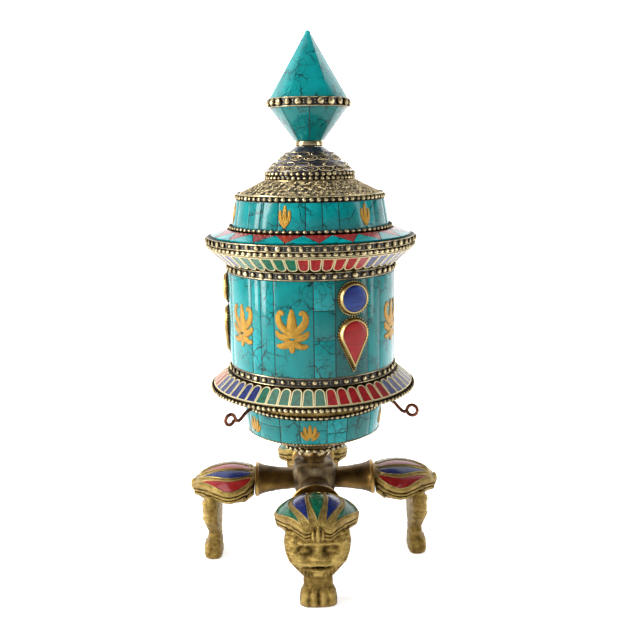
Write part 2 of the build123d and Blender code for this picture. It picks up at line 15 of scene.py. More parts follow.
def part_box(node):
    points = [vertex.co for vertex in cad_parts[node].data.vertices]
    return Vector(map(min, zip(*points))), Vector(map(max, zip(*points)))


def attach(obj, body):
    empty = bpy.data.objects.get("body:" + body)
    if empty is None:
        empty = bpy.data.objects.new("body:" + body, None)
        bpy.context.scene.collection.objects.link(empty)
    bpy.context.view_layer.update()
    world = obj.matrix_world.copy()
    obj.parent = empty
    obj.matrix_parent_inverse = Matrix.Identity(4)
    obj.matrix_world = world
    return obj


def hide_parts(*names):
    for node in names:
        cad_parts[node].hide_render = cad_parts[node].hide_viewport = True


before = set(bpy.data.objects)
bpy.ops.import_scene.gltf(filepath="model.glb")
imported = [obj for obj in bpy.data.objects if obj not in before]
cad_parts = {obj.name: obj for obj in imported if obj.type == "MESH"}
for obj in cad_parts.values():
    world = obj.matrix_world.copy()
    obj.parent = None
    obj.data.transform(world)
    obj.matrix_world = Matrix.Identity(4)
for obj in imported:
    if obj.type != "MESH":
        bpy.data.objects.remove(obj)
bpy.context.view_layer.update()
MM = 0.001


# ---- measures read from the frame ---------------------------------------------------------------
def ring(node):
    """Outer radius, lowest and highest height of a turned CAD part, in millimetres."""
    low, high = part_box(node)
    return high[0] / MM, low[2] / MM, high[2] / MM


def clamp(value):
    return min(1.0, max(0.0, value))


# ---- materials ----------------------------------------------------------------------------------
def linear(hex_colour):
    """An sRGB hex colour as the linear RGBA that shaders take."""
    channels = [int(hex_colour[i : i + 2], 16) / 255 for i in (1, 3, 5)]
    return [c / 12.92 if c <= 0.04045 else ((c + 0.055) / 1.055) ** 2.4 for c in channels] + [1.0]


def add(tree, kind, settings=None, inputs=None):
    """Adds a node; an input's value is either a number, a colour or another node's output."""
    node = tree.nodes.new(kind)
    for name, value in (settings or {}).items():
        setattr(node, name, value)
    for key, value in (inputs or {}).items():
        if isinstance(value, bpy.types.NodeSocket):
            tree.links.new(value, node.inputs[key])
        else:
            node.inputs[key].default_value = value
    return node


def maths(tree, operation, first, second=0.0):
    return add(tree, "ShaderNodeMath", {"operation": operation}, {0: first, 1: second}).outputs[0]


def attribute(tree, name):
    return add(tree, "ShaderNodeAttribute", {"attribute_name": name}).outputs["Fac"]


def ramp(tree, value, low, high, start=0.0, end=1.0):
    """Maps a value between two limits to a number between start and end."""
    inputs = {"Value": value, "From Min": low, "From Max": high, "To Min": start, "To Max": end}
    return add(tree, "ShaderNodeMapRange", None, inputs).outputs[0]


def layers(tree, base, *steps):
    """Colours laid over a base colour: (value, low, high, share, colour) each.

    A colour starts to cover what is below it at the low limit, and covers its full share at the high one."""
    below = linear(base)
    for value, low, high, share, colour in steps:
        inputs = {0: ramp(tree, value, low, high, 0.0, share), 6: below, 7: linear(colour)}
        below = add(tree, "ShaderNodeMix", {"data_type": "RGBA"}, inputs).outputs[2]
    return below


def shader(name, **values):
    """A material with its principled shader set up, its node tree and its Object coordinates."""
    material = bpy.data.materials.new(name)
    material.use_nodes = True
    tree = material.node_tree
    for key, value in values.items():
        tree.nodes["Principled BSDF"].inputs[key.replace("_", " ")].default_value = value
    return material, tree, add(tree, "ShaderNodeTexCoord").outputs["Object"]


def paint(material, colour, height, depth_mm, strength=1.0):
    """Finishes a material with its colour and a relief of a real depth."""
    tree = material.node_tree
    surface = tree.nodes["Principled BSDF"]
    inputs = {"Height": height, "Distance": depth_mm * MM, "Strength": strength}
    tree.links.new(colour, surface.inputs["Base Color"])
    tree.links.new(add(tree, "ShaderNodeBump", None, inputs).outputs[0], surface.inputs["Normal"])
    return material


def clouds(tree, place, size_mm, detail=3.0, distortion=0.0):
    """Soft noise with features of a real size."""
    inputs = {"Vector": place, "Scale": 1 / (size_mm * MM), "Detail": detail, "Distortion": distortion}
    return add(tree, "ShaderNodeTexNoise", None, inputs).outputs[0]


def streaks(tree, place, per_metre, detail):
    """Noise drawn out along one axis into bands or fibres."""
    stretched = add(tree, "ShaderNodeMapping", None, {"Vector": place, "Scale": per_metre}).outputs[0]
    return clouds(tree, stretched, 1 / MM, detail)


def cracks(tree, place, size_mm, width, wander_mm):
    """Thin lines round cells of a real size, as 1 on a line and 0 off it."""
    push = {0: clouds(tree, place, 5.0).node.outputs[1], 1: (0.5, 0.5, 0.5)}
    wander = add(tree, "ShaderNodeVectorMath", {"operation": "SUBTRACT"}, push).outputs[0]
    reach = {0: wander, "Scale": wander_mm * MM}
    shift = add(tree, "ShaderNodeVectorMath", {"operation": "SCALE"}, reach).outputs[0]
    moved = add(tree, "ShaderNodeVectorMath", {"operation": "ADD"}, {0: place, 1: shift}).outputs[0]
    inputs = {"Vector": moved, "Scale": 1 / (size_mm * MM)}
    cells = add(tree, "ShaderNodeTexVoronoi", {"feature": "DISTANCE_TO_EDGE"}, inputs).outputs[0]
    return ramp(tree, cells, width * 0.35, width, 1.0, 0.0)


LACQUER = {"Roughness": 0.22, "Specular_IOR_Level": 0.15, "Coat_Weight": 0.3, "Coat_Roughness": 0.04}
RESIN = {"Roughness": 0.25, "Specular_IOR_Level": 0.3, "Coat_Weight": 0.3, "Coat_Roughness": 0.08}
CUT_STONE = {"Roughness": 0.3, "Specular_IOR_Level": 0.25, "Coat_Weight": 0.25, "Coat_Roughness": 0.12}
GLASS_ENAMEL = {"Roughness": 0.25, "IOR": 1.5, "Coat_Weight": 0.6, "Coat_Roughness": 0.1}


def polished_turquoise():
    """Dyed howlite sold as turquoise: bright blue-green, glassy lacquer, dark wandering matrix lines."""
    material, tree, place = shader("polished_turquoise", **LACQUER)
    chip = attribute(tree, "chip")
    where = ramp(tree, clouds(tree, place, 11.0, 2.0), 0.41, 0.55)
    wide = maths(tree, "MULTIPLY", cracks(tree, place, 9.0, 0.034, 6.0), where)
    fade = ramp(tree, where, 0.4, 1.0, 0.0, 0.6)
    fine = maths(tree, "MULTIPLY", cracks(tree, place, 4.0, 0.045, 3.0), fade)
    colour = layers(
        tree,
        "#009B9D",
        (clouds(tree, place, 14.0, 4.0, 0.6), 0.35, 0.7, 1.0, "#007B7B"),
        # the finial's keel chips, set from 0.8 to 1.3, take these darker greens as painted shade of its
        # downward faces
        (chip, 0.0, 1.0, 0.75, "#035C57"),
        (chip, 1.2, 2.0, 0.9, "#0B2A22"),  # past 1 the chip is the dark green paste that beds a bezel, except on the finial's keel, where it is painted shade
        (clouds(tree, place, 5.0, 5.0, 1.5), 0.62, 0.82, 0.4, "#4DB8AC"),
        (maths(tree, "MAXIMUM", wide, fine), 0.0, 1.0, 0.92, "#062023"),
    )
    return paint(material, colour, clouds(tree, place, 6.0, 2.0), 0.14)


def crushed_stone(name, deep, middle, light):
    """Crushed stone in resin, ground flush and polished: small grains of slightly different tones."""
    material, tree, place = shader(name, **RESIN)
    grain = add(tree, "ShaderNodeTexVoronoi", None, {"Vector": place, "Scale": 1 / (0.9 * MM)})
    tone = add(tree, "ShaderNodeSeparateColor", None, {0: grain.outputs["Color"]}).outputs[0]
    flecks = clouds(tree, place, 1.6, 4.0)
    colour = layers(tree, deep, (tone, 0.0, 1.0, 1.0, middle), (flecks, 0.56, 0.72, 0.3, light))
    return paint(material, colour, tone, 0.05, 0.5)


def smooth_cabochon(name, deep, light):
    """A single cut and polished stone with faint bands."""
    material, tree, place = shader(name, **CUT_STONE)
    bands = streaks(tree, place, (60, 60, 420), 4.0)
    colour = layers(tree, deep, (bands, 0.4, 0.75, 1.0, light))
    return paint(material, colour, clouds(tree, place, 1.2), 0.03, 0.4)


def worn_brass(name, bright, middle, patina, rough, grain_mm, depth_mm, low, high, metallic=1.0):
    """Brass whose raised parts are rubbed bright while the hollows keep a dark patina.

    The wear attribute is 0 in a hollow and 1 on a rubbed edge, and noise breaks the boundary up. The patina
    gives way to the middle tone past the low limit, and the bright one comes at the high limit."""
    material, tree, place = shader(name, Metallic=metallic)
    patches = ramp(tree, clouds(tree, place, grain_mm * 4, 4.0), 0.3, 0.7, -0.18, 0.18)
    rubbed = maths(tree, "ADD", attribute(tree, "wear"), patches)
    half = (low + high) / 2
    colour = layers(tree, patina, (rubbed, low, half, 1.0, middle), (rubbed, half, high + 0.15, 1.0, bright))
    dulled = ramp(tree, rubbed, 0.0, 1.0, rough + 0.2, rough - 0.05)
    tree.links.new(dulled, tree.nodes["Principled BSDF"].inputs["Roughness"])
    return paint(material, colour, clouds(tree, place, grain_mm, 5.0), depth_mm)


def dark_filler():
    """Lac and soot rubbed into every joint: almost black, with a dull sheen."""
    material, tree, place = shader("dark_filler", Roughness=0.5)
    tone = clouds(tree, place, 1.5)
    return paint(material, layers(tree, "#0C0907", (tone, 0.3, 0.7, 1.0, "#1E1711")), tone, 0.15)


def dark_enamel():
    """Violet-black enamel between wires, with a smoky iridescent cast."""
    material, tree, place = shader("violet_enamel", **GLASS_ENAMEL)
    tone = clouds(tree, place, 3.5, 4.0)
    colour = layers(tree, "#1B2036", (tone, 0.35, 0.6, 1.0, "#33282E"), (tone, 0.6, 0.75, 1.0, "#4A443E"))
    return paint(material, colour, tone, 0.2)


def copper_wire():
    """Hard-drawn copper wire gone brown, rubbed redder on the bends."""
    material, tree, place = shader("browned_copper_wire", Metallic=0.85, Roughness=0.42)
    tone = clouds(tree, place, 1.3, 4.0)
    return paint(material, layers(tree, "#4A2A1C", (tone, 0.35, 0.7, 1.0, "#8A5238")), tone, 0.06)


def turned_brass():
    """Bright lathe-turned brass with fine rings of tool marks, drawn at half a millimetre to show."""
    material, tree, place = shader("turned_brass", Metallic=1.0, Roughness=0.24)
    colour = layers(tree, "#D2C094", (clouds(tree, place, 5.0, 4.0), 0.35, 0.75, 1.0, "#8E7546"))
    height = add(tree, "ShaderNodeSeparateXYZ", None, {0: place}).outputs[2]
    inputs = {"W": height, "Scale": 1 / (0.5 * MM), "Detail": 2.0}
    marks = add(tree, "ShaderNodeTexNoise", {"noise_dimensions": "1D"}, inputs).outputs[0]
    return paint(material, colour, marks, 0.03, 0.6)


def steel():
    """Cold-drawn steel rod with a light film of oil."""
    material, tree, place = shader("drawn_steel", Metallic=1.0, Roughness=0.3)
    colour = layers(tree, "#8C8C8A", (clouds(tree, place, 4.0), 0.0, 1.0, 1.0, "#BDBDBB"))
    return paint(material, colour, clouds(tree, place, 0.4), 0.01)


def rolled_paper():
    """Thin handmade paper, rolled tight: cream, slightly fibrous, browner at the edges."""
    material, tree, place = shader("rolled_paper", Roughness=0.85)
    fibre = streaks(tree, place, (900, 900, 160), 5.0)
    return paint(material, layers(tree, "#E4D8B8", (fibre, 0.35, 0.7, 1.0, "#C9B78E")), fibre, 0.08)


FINISH = {
    "turquoise": polished_turquoise(),
    "coral": crushed_stone("ground_coral", "#780D10", "#9E181C", "#B44E4C"),
    "lapis": crushed_stone("ground_lapis", "#0A1244", "#14286E", "#4A69A4"),
    "malachite": crushed_stone("ground_malachite", "#02412E", "#066648", "#399678"),
    "lapis_cabochon": smooth_cabochon("lapis_cabochon", "#071C62", "#1B4690"),
    "coral_cabochon": smooth_cabochon("coral_cabochon", "#8C0506", "#A80E0E"),
    "turned_brass": turned_brass(),
    "filler": dark_filler(),
    "enamel": dark_enamel(),
    "copper": copper_wire(),
    "steel": steel(),
    "paper": rolled_paper(),
}
BRASSES = [
    # finish, material, bright, middle and patina, roughness, grain and depth in mm, wear limits, metallic
    ("bead", "soldered_bead_wire", "#C9B98F", "#756342", "#170F08", 0.32, 0.7, 0.08, 0.3, 0.85),
    ("wire", "flattened_brass_wire", "#DCCB9C", "#C0AB78", "#6A5836", 0.42, 0.8, 0.05, 0.0, 0.4, 0.4),
    ("lace", "browned_filigree_wire", "#B9A780", "#76643F", "#221A12", 0.3, 0.6, 0.05, 0.2, 0.8),
    ("sheet", "beaten_brass_sheet", "#C4AA70", "#7C6436", "#33240F", 0.36, 1.5, 0.15, 0.25, 0.75),
    ("cast", "sand_cast_brass", "#B49A58", "#7E6634", "#2B2009", 0.36, 0.6, 0.7, 0.05, 0.85),
    ("arm", "browned_cast_brass", "#A38349", "#6C532C", "#33240F", 0.38, 2.0, 0.10, 0.1, 0.9),
    ("hub", "ash_grey_cast_brass", "#A39273", "#6B5A41", "#33291C", 0.5, 0.8, 0.35, 0.1, 0.9),
    ("ornament", "stippled_gilt_brass", "#A37C34", "#7C5C26", "#261B0B", 0.42, 0.5, 0.35, 0.2, 0.8),
    ("line", "dull_yellow_brass_line", "#A8925A", "#7F6A3C", "#33270F", 0.42, 0.6, 0.1, 0.0, 0.9),
]
for finish_name, *look in BRASSES:
    FINISH[finish_name + "_brass"] = worn_brass(*look)


# ---- mesh helpers -------------------------------------------------------------------------------
def make(name, bm, finishes, body, nodes=(), sharp=35.0):
    """Turns a bmesh in millimetres into a finished piece that rides on a body."""
    bmesh.ops.recalc_face_normals(bm, faces=bm.faces)
    for face in bm.faces:
        face.smooth = True
    for edge in bm.edges:
        edge.smooth = edge.calc_face_angle(0.0) < radians(sharp)
    bm.transform(Matrix.Scale(MM, 4))
    mesh = bpy.data.meshes.new(name)
    bm.to_mesh(mesh)
    bm.free()
    for finish in finishes:
        mesh.materials.append(FINISH[finish])
    piece = bpy.data.objects.new(name, mesh)
    bpy.context.scene.collection.objects.link(piece)
    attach(piece, body)
    if nodes:
        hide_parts(*nodes)
    return piece


def merge(target, source, matrix=None, finish=0):
    """Adds a copy of one bmesh to another, moved, with all its faces in one finish."""
    mesh = bpy.data.meshes.new("copy")
    source.to_mesh(mesh)
    if matrix is not None:
        mesh.transform(matrix)
    first = len(target.faces)
    target.from_mesh(mesh)
    target.faces.ensure_lookup_table()
    for face in target.faces[first:]:
        face.material_index = finish
    bpy.data.meshes.remove(mesh)


def wear_layer(bm):
    return bm.verts.layers.float.get("wear") or bm.verts.layers.float.new("wear")


def wear(bm, measure):
    """Stores how rubbed each point is, from 0 to 1."""
    layer = wear_layer(bm)
    for vert in bm.verts:
        vert[layer] = measure(vert)


def weld(bm, distance):
    bmesh.ops.remove_doubles(bm, verts=bm.verts, dist=distance)


def ball(bm, around, up, radius, matrix):
    """Adds a ball and returns its points."""
    made = bmesh.ops.create_uvsphere(bm, u_segments=around, v_segments=up, radius=radius, matrix=matrix)
    return made["verts"]


def revolve(bm, points, axis, steps, closed=False):
    """Draws a line through points and takes it the whole way round an axis."""
    verts = [bm.verts.new(point) for point in points]
    edges = [bm.edges.new(pair) for pair in zip(verts, verts[1:])]
    if closed:
        edges.append(bm.edges.new((verts[-1], verts[0])))
    bmesh.ops.spin(bm, geom=verts + edges, cent=(0, 0, 0), axis=axis, angle=tau, steps=steps, use_merge=True)


def turned(points, steps=144, closed=False):
    """A section of (radius, height) points turned about the spindle axis."""
    bm = bmesh.new()
    front = Matrix.Rotation(radians(-90), 3, "Z")
    revolve(bm, [front @ Vector((r, 0, z)) for r, z in points], (0, 0, 1), steps, closed)
    weld(bm, 0.001)
    return bm


def slab(points, start, angle, steps):
    """A solid of a closed section swept through part of a turn."""
    bm = bmesh.new()
    turn = Matrix.Rotation(radians(start - 90), 3, "Z")
    face = bm.faces.new([bm.verts.new(turn @ Vector((r, 0, z))) for r, z in points])
    bmesh.ops.spin(bm, geom=[face], cent=(0, 0, 0), axis=(0, 0, 1), angle=radians(angle), steps=steps)
    weld(bm, 0.001)
    bmesh.ops.recalc_face_normals(bm, faces=bm.faces)
    return bm


def soften(bm, width):
    """Rounds every edge that turns by more than 50 degrees."""
    edges = [e for e in bm.edges if e.calc_face_angle(0.0) > radians(50)]
    bmesh.ops.bevel(bm, geom=edges, offset=width, affect="EDGES", segments=2, profile=0.5, material=-1)


def wires(paths, radius, sides, cyclic=False, order=3):
    """Round wire along each path of (x, y, z) or (x, y, z, thickness) points, as one bmesh."""
    curve = bpy.data.curves.new("wire", "CURVE")
    curve.dimensions = "3D"
    curve.bevel_depth = radius
    curve.bevel_resolution = sides
    curve.resolution_u = 4
    curve.use_fill_caps = True
    for path in paths:
        spline = curve.splines.new("NURBS")
        spline.points.add(len(path) - 1)
        for point, place in zip(spline.points, path):
            point.co = (*place[:3], 1.0)
            point.radius = place[3] if len(place) > 3 else 1.0
        spline.order_u = order
        spline.use_endpoint_u = not cyclic
        spline.use_cyclic_u = cyclic
    holder = bpy.data.objects.new("wire", curve)
    mesh = bpy.data.meshes.new_from_object(holder)
    bm = bmesh.new()
    bm.from_mesh(mesh)
    bpy.data.objects.remove(holder)
    bpy.data.curves.remove(curve)
    bpy.data.meshes.remove(mesh)
    weld(bm, 0.0005)
    return bm


def facing(angle):
    """Turns something drawn at the front to its angle round the spindle."""
    return Matrix.Rotation(radians(angle), 4, "Z")


def on_cone(line, angle, along, lift):
    """Place on a turned face: x round it, y up its (radius, height) line, z outwards."""
    (r0, z0), (r1, z1) = line
    length = hypot(r1 - r0, z1 - z0)
    slope = ((r1 - r0) / length, (z1 - z0) / length)
    outward = Vector((sin(radians(angle)), -cos(radians(angle)), 0))
    round_it = Vector((cos(radians(angle)), sin(radians(angle)), 0))
    up = outward * slope[0] + Vector((0, 0, slope[1]))
    normal = round_it.cross(up)
    if normal.dot(outward) < 0:
        normal, round_it = -normal, -round_it
    origin = outward * (r0 + slope[0] * along) + Vector((0, 0, z0 + slope[1] * along)) + normal * lift
    return Matrix.Translation(origin) @ Matrix((round_it, up, normal)).transposed().to_4x4()


def bead_row(bm, radius, z, size, count, seed, stretch=1.0, stand=1.0, start=0.0, uneven=0.08):
    """A row of soldered beads round the spindle, each a little different."""
    draw = random.Random(seed)
    layer = wear_layer(bm)
    for k in range(count):
        r = size * (1 + draw.uniform(-uneven, uneven))
        shift = Matrix.Translation((0, -radius, z + draw.uniform(-0.06, 0.06)))
        place = facing(start + 360 * k / count) @ shift
        wide, tall = (1 + draw.uniform(-uneven, uneven) for _ in range(2))
        for vert in ball(bm, 8, 6, r, place @ Matrix.Diagonal((stretch * wide, stand, tall, 1))):
            out = hypot(vert.co.x, vert.co.y) - radius
            vert[layer] = clamp(0.2 + 0.85 * out / (size * stand))


def hoop(bm, radius, z, thickness, finish=0, steps=144):
    """A plain round wire bent into a ring."""
    section = [(radius + thickness * cos(a), z + thickness * sin(a)) for a in (tau * k / 8 for k in range(8))]
    loop = turned(section, steps, closed=True)
    wear(loop, lambda v: clamp(0.4 + 0.6 * (hypot(v.co.x, v.co.y) - radius) / thickness))
    merge(bm, loop, finish=finish)


# ---- bead bands and bead wires ------------------------------------------------------------------
def bead_band(node, body, count, bead, stand, seed):
    """Dark strip between two wires, with a row of large beads and two grains between each pair."""
    outer, low, high = ring(node)
    face_r = outer - stand
    back_r, front_r = face_r - 0.9, face_r - 0.1
    bm = turned([(back_r, low), (front_r, low), (front_r, high), (back_r, high)], closed=True)
    for face in bm.faces:
        face.material_index = 1
    middle = (low + high) / 2
    for z in (low + 0.2, high - 0.2):
        hoop(bm, face_r - 0.12, z, 0.22)
    bead_row(bm, face_r + bead * 0.15, middle, bead * 0.94, count, seed, stand=0.8, uneven=0.14)
    for side in (-1, 1):
        z = middle + side * bead * 0.36
        bead_row(bm, face_r - 0.05, z, bead * 0.2, count, seed + side, start=180 / count)
    make(node + "_row", bm, ["bead_brass", "filler"], body, [node])


def bead_bands():
    bead_band("barrel_top_beads", "drum", 52, 1.32, 1.2, 11)
    bead_band("barrel_bottom_beads", "drum", 52, 1.28, 1.2, 21)
    bead_band("flange_rim_beads", "lid", 62, 1.2, 0.9, 31)
    bead_band("finial_beads", "lid", 23, 1.62, 1.1, 41)


def bead_wires():
    """Rows of touching beads on dark backing rings, some with a plain wire beside them."""
    rows = [
        # node, body, beads, bead radius, stretch, inset, plain wire: side, inset, distance, thickness
        ("lower_rim_beads", "drum", 118, 0.92, 1.12, 0.85, None),
        ("cup_rim_beads", "drum", 82, 0.8, 1.25, 0.8, ("below", 0.5, 0.35, 0.34)),
        ("cup_foot_beads", "drum", 31, 1.12, 1.1, 1.1, None),
        ("flange_under_beads", "lid", 96, 0.85, 1.55, 0.85, ("below", 0.45, 0.25, 0.36)),
        ("flange_inner_beads", "lid", 78, 0.85, 1.2, 0.85, None),
        ("lid_edge_beads", "lid", 70, 0.98, 1.1, 0.95, ("above", 0.25, 0.55, 0.42)),
    ]
    for node, body, count, bead, stretch, inset, plain in rows:
        outer, low, high = ring(node)
        middle, radius = (low + high) / 2, outer - inset
        bm = bmesh.new()
        hoop(bm, radius - 0.35, middle, 0.5, finish=1)
        bead_row(bm, radius, middle, bead, count, count, stretch=stretch)
        if plain:
            side, inwards, distance, thickness = plain
            z = high + distance if side == "above" else low - distance
            hoop(bm, radius - inwards, z, thickness)
        make(node + "_wire", bm, ["bead_brass", "filler"], body, [node])


def cap_bead_rows():
    outer, low, high = ring("cap_beads")
    bm = bmesh.new()
    for z, count in ((high - 0.85, 46), (low + 0.85, 50)):
        hoop(bm, outer - 1.35, z, 0.6, finish=1)
        bead_row(bm, outer - 0.95, z, 0.95, count, count, stretch=1.1)
    make("cap_bead_rows", bm, ["bead_brass", "filler"], "lid", ["cap_beads"])


# ---- turquoise chips ----------------------------------------------------------------------------
CHIP_GAP, CHIP_DEPTH = 0.32, 0.9


def chip_wall(name, line, edges, body, node, seams=(0,), pasted=()):
    """Chips of stone between given angles on a turned wall, each ground nearly flat, over dark filler.

    Seams are the numbers of cross joints a chip may have, and a pasted chip is the dark bed of a bezel."""
    draw = random.Random(name)
    (r0, z0), (r1, z1) = line
    bm = bmesh.new()
    bm.faces.layers.float.new("chip")
    for index, (a, b) in enumerate(zip(edges[:-1], edges[1:])):
        gap = degrees_of(CHIP_GAP, max(r0, r1))
        dr = draw.uniform(-0.04, 0.04)
        section = [(r0 + dr, z0 + 0.1), (r1 + dr, z1 - 0.1)]
        section += [(r1 - CHIP_DEPTH, z1 - 0.1), (r0 - CHIP_DEPTH, z0 + 0.1)]
        steps = max(2, ceil((b - a) / 6))
        count = draw.choice(seams)
        cuts = [(k + 1 + draw.uniform(-0.3, 0.3)) / (count + 1) for k in range(count)]
        slit = 0.1 / abs(z1 - z0)
        for low, high in zip([0.0] + cuts, cuts + [1.0]):
            foot, head = low + slit, high - slit
            front, back = section[:2], section[:1:-1]
            ends = ((front, foot), (front, head), (back, head), (back, foot))
            piece = [(p[0] + (q[0] - p[0]) * t, p[1] + (q[1] - p[1]) * t) for (p, q), t in ends]
            chip = slab(piece, a + gap / 2, b - a - gap, steps)
            soften(chip, 0.2)
            layer = chip.faces.layers.float.new("chip")
            shade = 1.55 if index in pasted else draw.random()
            for face in chip.faces:
                face[layer] = shade
            merge(bm, chip)
    make(name, bm, ["turquoise"], body, [node])


def degrees_of(length, radius):
    return length / radius * 180 / pi


def spread(widths, start):
    """Angles of the joints between chips all round, from their relative widths."""
    scale = 360.0 / sum(widths)
    edges = [start]
    for width in widths:
        edges.append(edges[-1] + width * scale)
    return edges


def backing(name, line, body):
    """Dark filler that shows in the joints between chips."""
    bm = turned(line)
    bmesh.ops.solidify(bm, geom=bm.faces, thickness=0.25)
    make(name, bm, ["filler"], body)


SET_ANGLE = 26.0
BARREL_STAVES = [24, 12, 26, 8, 10, 26, 14]
ORNAMENT_OFFSETS = (40.0, 80.0)


def barrel_walls():
    outer, low, high = ring("barrel_stones")
    edges = spread(BARREL_STAVES * 3, SET_ANGLE - 12)
    line, seams = [(outer, low), (outer, high)], (0, 0, 1, 0, 2)
    chip_wall("barrel_staves", line, edges, "drum", "barrel_stones", seams, (0, 7, 14))
    backing("barrel_joints", [(outer - 0.45, low - 0.1), (outer - 0.45, high + 0.1)], "drum")


def lid_walls():
    outer, low, high = ring("lid_stones")
    line = [(outer, low), (outer - 1.95, high)]
    widths = [15, 9, 9, 17, 8, 14, 9, 11]
    chip_wall("lid_chips", line, spread(widths * 3, -24.0), "lid", "lid_stones")
    backing("lid_joints", [(outer - 0.5, low), (outer - 2.45, high)], "lid")


def cup_walls():
    outer, low, high = ring("cup_stones")
    line = [(outer - 1.2, low), (outer, high)]
    widths = [18, 14, 21, 15, 16, 20, 13, 19, 14]
    chip_wall("cup_chips", line, spread(widths * 2, -12.0), "drum", "cup_stones", (0, 0, 1))
    backing("cup_joints", [(outer - 1.7, low), (outer - 0.5, high)], "drum")


# ---- petals and triangles -----------------------------------------------------------------------
def arch(base, tip, length, inset=0.0):
    """Outline of a petal: straight sides that lean in to a round end."""
    centre, radius = length - tip / 2, tip / 2 - inset
    points = [(inset - base / 2, inset), (base / 2 - inset, inset)]
    points += [(radius * cos(a), centre + radius * sin(a)) for a in (pi * k / 8 for k in range(9))]
    return points


def between(bm, loops):
    """Walls between loops of as many points, each loop given as (x, y, z) points."""
    rounds = [[bm.verts.new(point) for point in loop] for loop in loops]
    for low, high in zip(rounds, rounds[1:]):
        for k in range(len(low)):
            m = (k + 1) % len(low)
            bm.faces.new((low[k], low[m], high[m], high[k]))
    return rounds


def at_height(outline, z):
    return [(x, y, z) for x, y in outline]


def cloison(base, tip, length, wall, wall_height, stone_height):
    """A petal cell of upright brass strip, and the stone ground level inside it."""
    outside, inside = arch(base, tip, length), arch(base, tip, length, wall)
    cell, stone = bmesh.new(), bmesh.new()
    loops = [(outside, 0), (outside, wall_height), (inside, wall_height), (inside, 0)]
    between(cell, [at_height(outline, z) for outline, z in loops])
    wear(cell, lambda v: 1.0 if v.co.z > wall_height * 0.5 else 0.7)
    rounds = between(stone, [at_height(inside, 0), at_height(inside, stone_height)])
    stone.faces.new(rounds[1])
    stone.faces.new(rounds[0])
    return cell, stone


PETALS = 54
PETAL_GROUP = 6
STONE_ORDER = ("malachite", "coral", "lapis")


def petal_row(side, body, line, start):
    """Petals round a sloping flange, in groups of one stone, each in its own brass cell."""
    (r0, z0), (r1, z1) = line
    length = hypot(r1 - r0, z1 - z0) - 0.2
    pitch = 360 / PETALS
    base, tip = r0 * radians(pitch) * 0.97, r1 * radians(pitch) * 0.95
    cell, stone = cloison(base, tip, length, 0.44, 0.85, 0.72)
    cells = bmesh.new()
    stones = {name: bmesh.new() for name in STONE_ORDER}
    for k in range(PETALS):
        place = on_cone(line, start + (k + 0.5) * pitch, 0.1, -0.55)
        merge(cells, cell, place)
        merge(stones[STONE_ORDER[k // PETAL_GROUP % 3]], stone, place)
    make(side + "_petal_cells", cells, ["wire_brass"], body)
    for name, bm in stones.items():
        make(f"{side}_petals_{name}_set", bm, [name], body, [f"{side}_petals_{name}"])


def petal_rows():
    _, low, high = ring("upper_petals_coral")
    petal_row("upper", "lid", [(45.2, high + 0.1), (38.7, low - 0.3)], -48.6)
    _, low, high = ring("lower_petals_coral")
    petal_row("lower", "drum", [(45.3, low + 0.1), (38.6, high + 0.1)], -33.9)


# ---- ornaments ----------------------------------------------------------------------------------
# leafwork as strokes of (across, up, half width): those down the middle, and those of the right half
PALMETTE = [
    [(0.0, -3.0, 2.6), (0.0, 0.4, 2.8), (0.0, 3.4, 2.2), (0.0, 6.5, 1.7), (0.0, 9.4, 0.7)],
    [(1.5, -0.6, 1.6), (4.4, 1.2, 1.8), (6.4, 4.2, 1.5), (5.9, 7.6, 1.2), (4.4, 8.6, 1.1), (3.7, 6.9, 0.8)],
    [(1.2, -3.0, 1.7), (4.6, -3.4, 1.8), (6.9, -1.6, 1.3), (6.6, 0.0, 0.8)],
    [(0.0, -4.8, 1.7), (3.2, -6.8, 1.6), (5.8, -7.4, 1.3), (6.4, -5.8, 0.9)],
    [(0.0, -4.0, 1.9), (0.0, -7.0, 1.8), (0.0, -9.4, 0.9)],
]
BUD = [
    [(0.0, -4.4, 0.7), (0.0, -1.5, 1.3), (0.0, 2.0, 1.3), (0.0, 4.6, 0.5)],
    [(0.3, -3.4, 0.8), (1.9, -2.0, 1.0), (2.3, 0.6, 0.9), (1.8, 2.6, 0.6)],
]
LOTUS = [
    [(0.0, -2.6, 1.1), (0.0, 0.4, 1.4), (0.0, 3.8, 0.5)],
    [(0.4, -2.4, 0.9), (2.2, -1.2, 1.1), (2.7, 1.2, 1.0), (2.1, 2.8, 0.5)],
    [(0.6, -3.2, 0.9), (2.8, -3.0, 1.0), (3.9, -1.2, 0.7), (3.9, 0.4, 0.4)],
]


def ornament(strokes, scale, thickness):
    """Flat leafwork cut from sheet: tapered strokes with softened edges, face up along z."""
    sides = [stroke for stroke in strokes if any(x for x, _, _ in stroke)]
    halves = strokes + [[(-x, y, r) for x, y, r in stroke] for stroke in sides]
    paths = [[(x * scale, y * scale, 0, r * scale) for x, y, r in stroke] for stroke in halves]
    bm = wires(paths, 1.0, 2, order=4)
    for vert in bm.verts:
        vert.co.z = max(-1.0, min(1.0, vert.co.z * 1.6 / scale)) * thickness
    wear(bm, lambda v: 0.45 + 0.5 * v.co.z / thickness)
    return bm


def wrap(bm, line, angle):
    """Bends a flat piece round a turned wall: x becomes the way round it and y the way up."""
    (r0, z0), (r1, z1) = line
    middle = (z0 + z1) / 2
    for vert in bm.verts:
        share = (vert.co.y + middle - z0) / (z1 - z0)
        radius = r0 + (r1 - r0) * share + vert.co.z
        turn = radians(angle) + vert.co.x / radius
        vert.co = (radius * sin(turn), -radius * cos(turn), middle + vert.co.y)


def ornament_set(part, body, strokes, line, angles, scale):
    """The same leafwork let into the stones of a part at each angle."""
    bm = bmesh.new()
    for angle in angles:
        one = ornament(strokes, scale, 0.28)
        wrap(one, line, angle)
        merge(bm, one)
    make(part + "_scrolls", bm, ["ornament_brass"], body, [part + "_ornaments"])


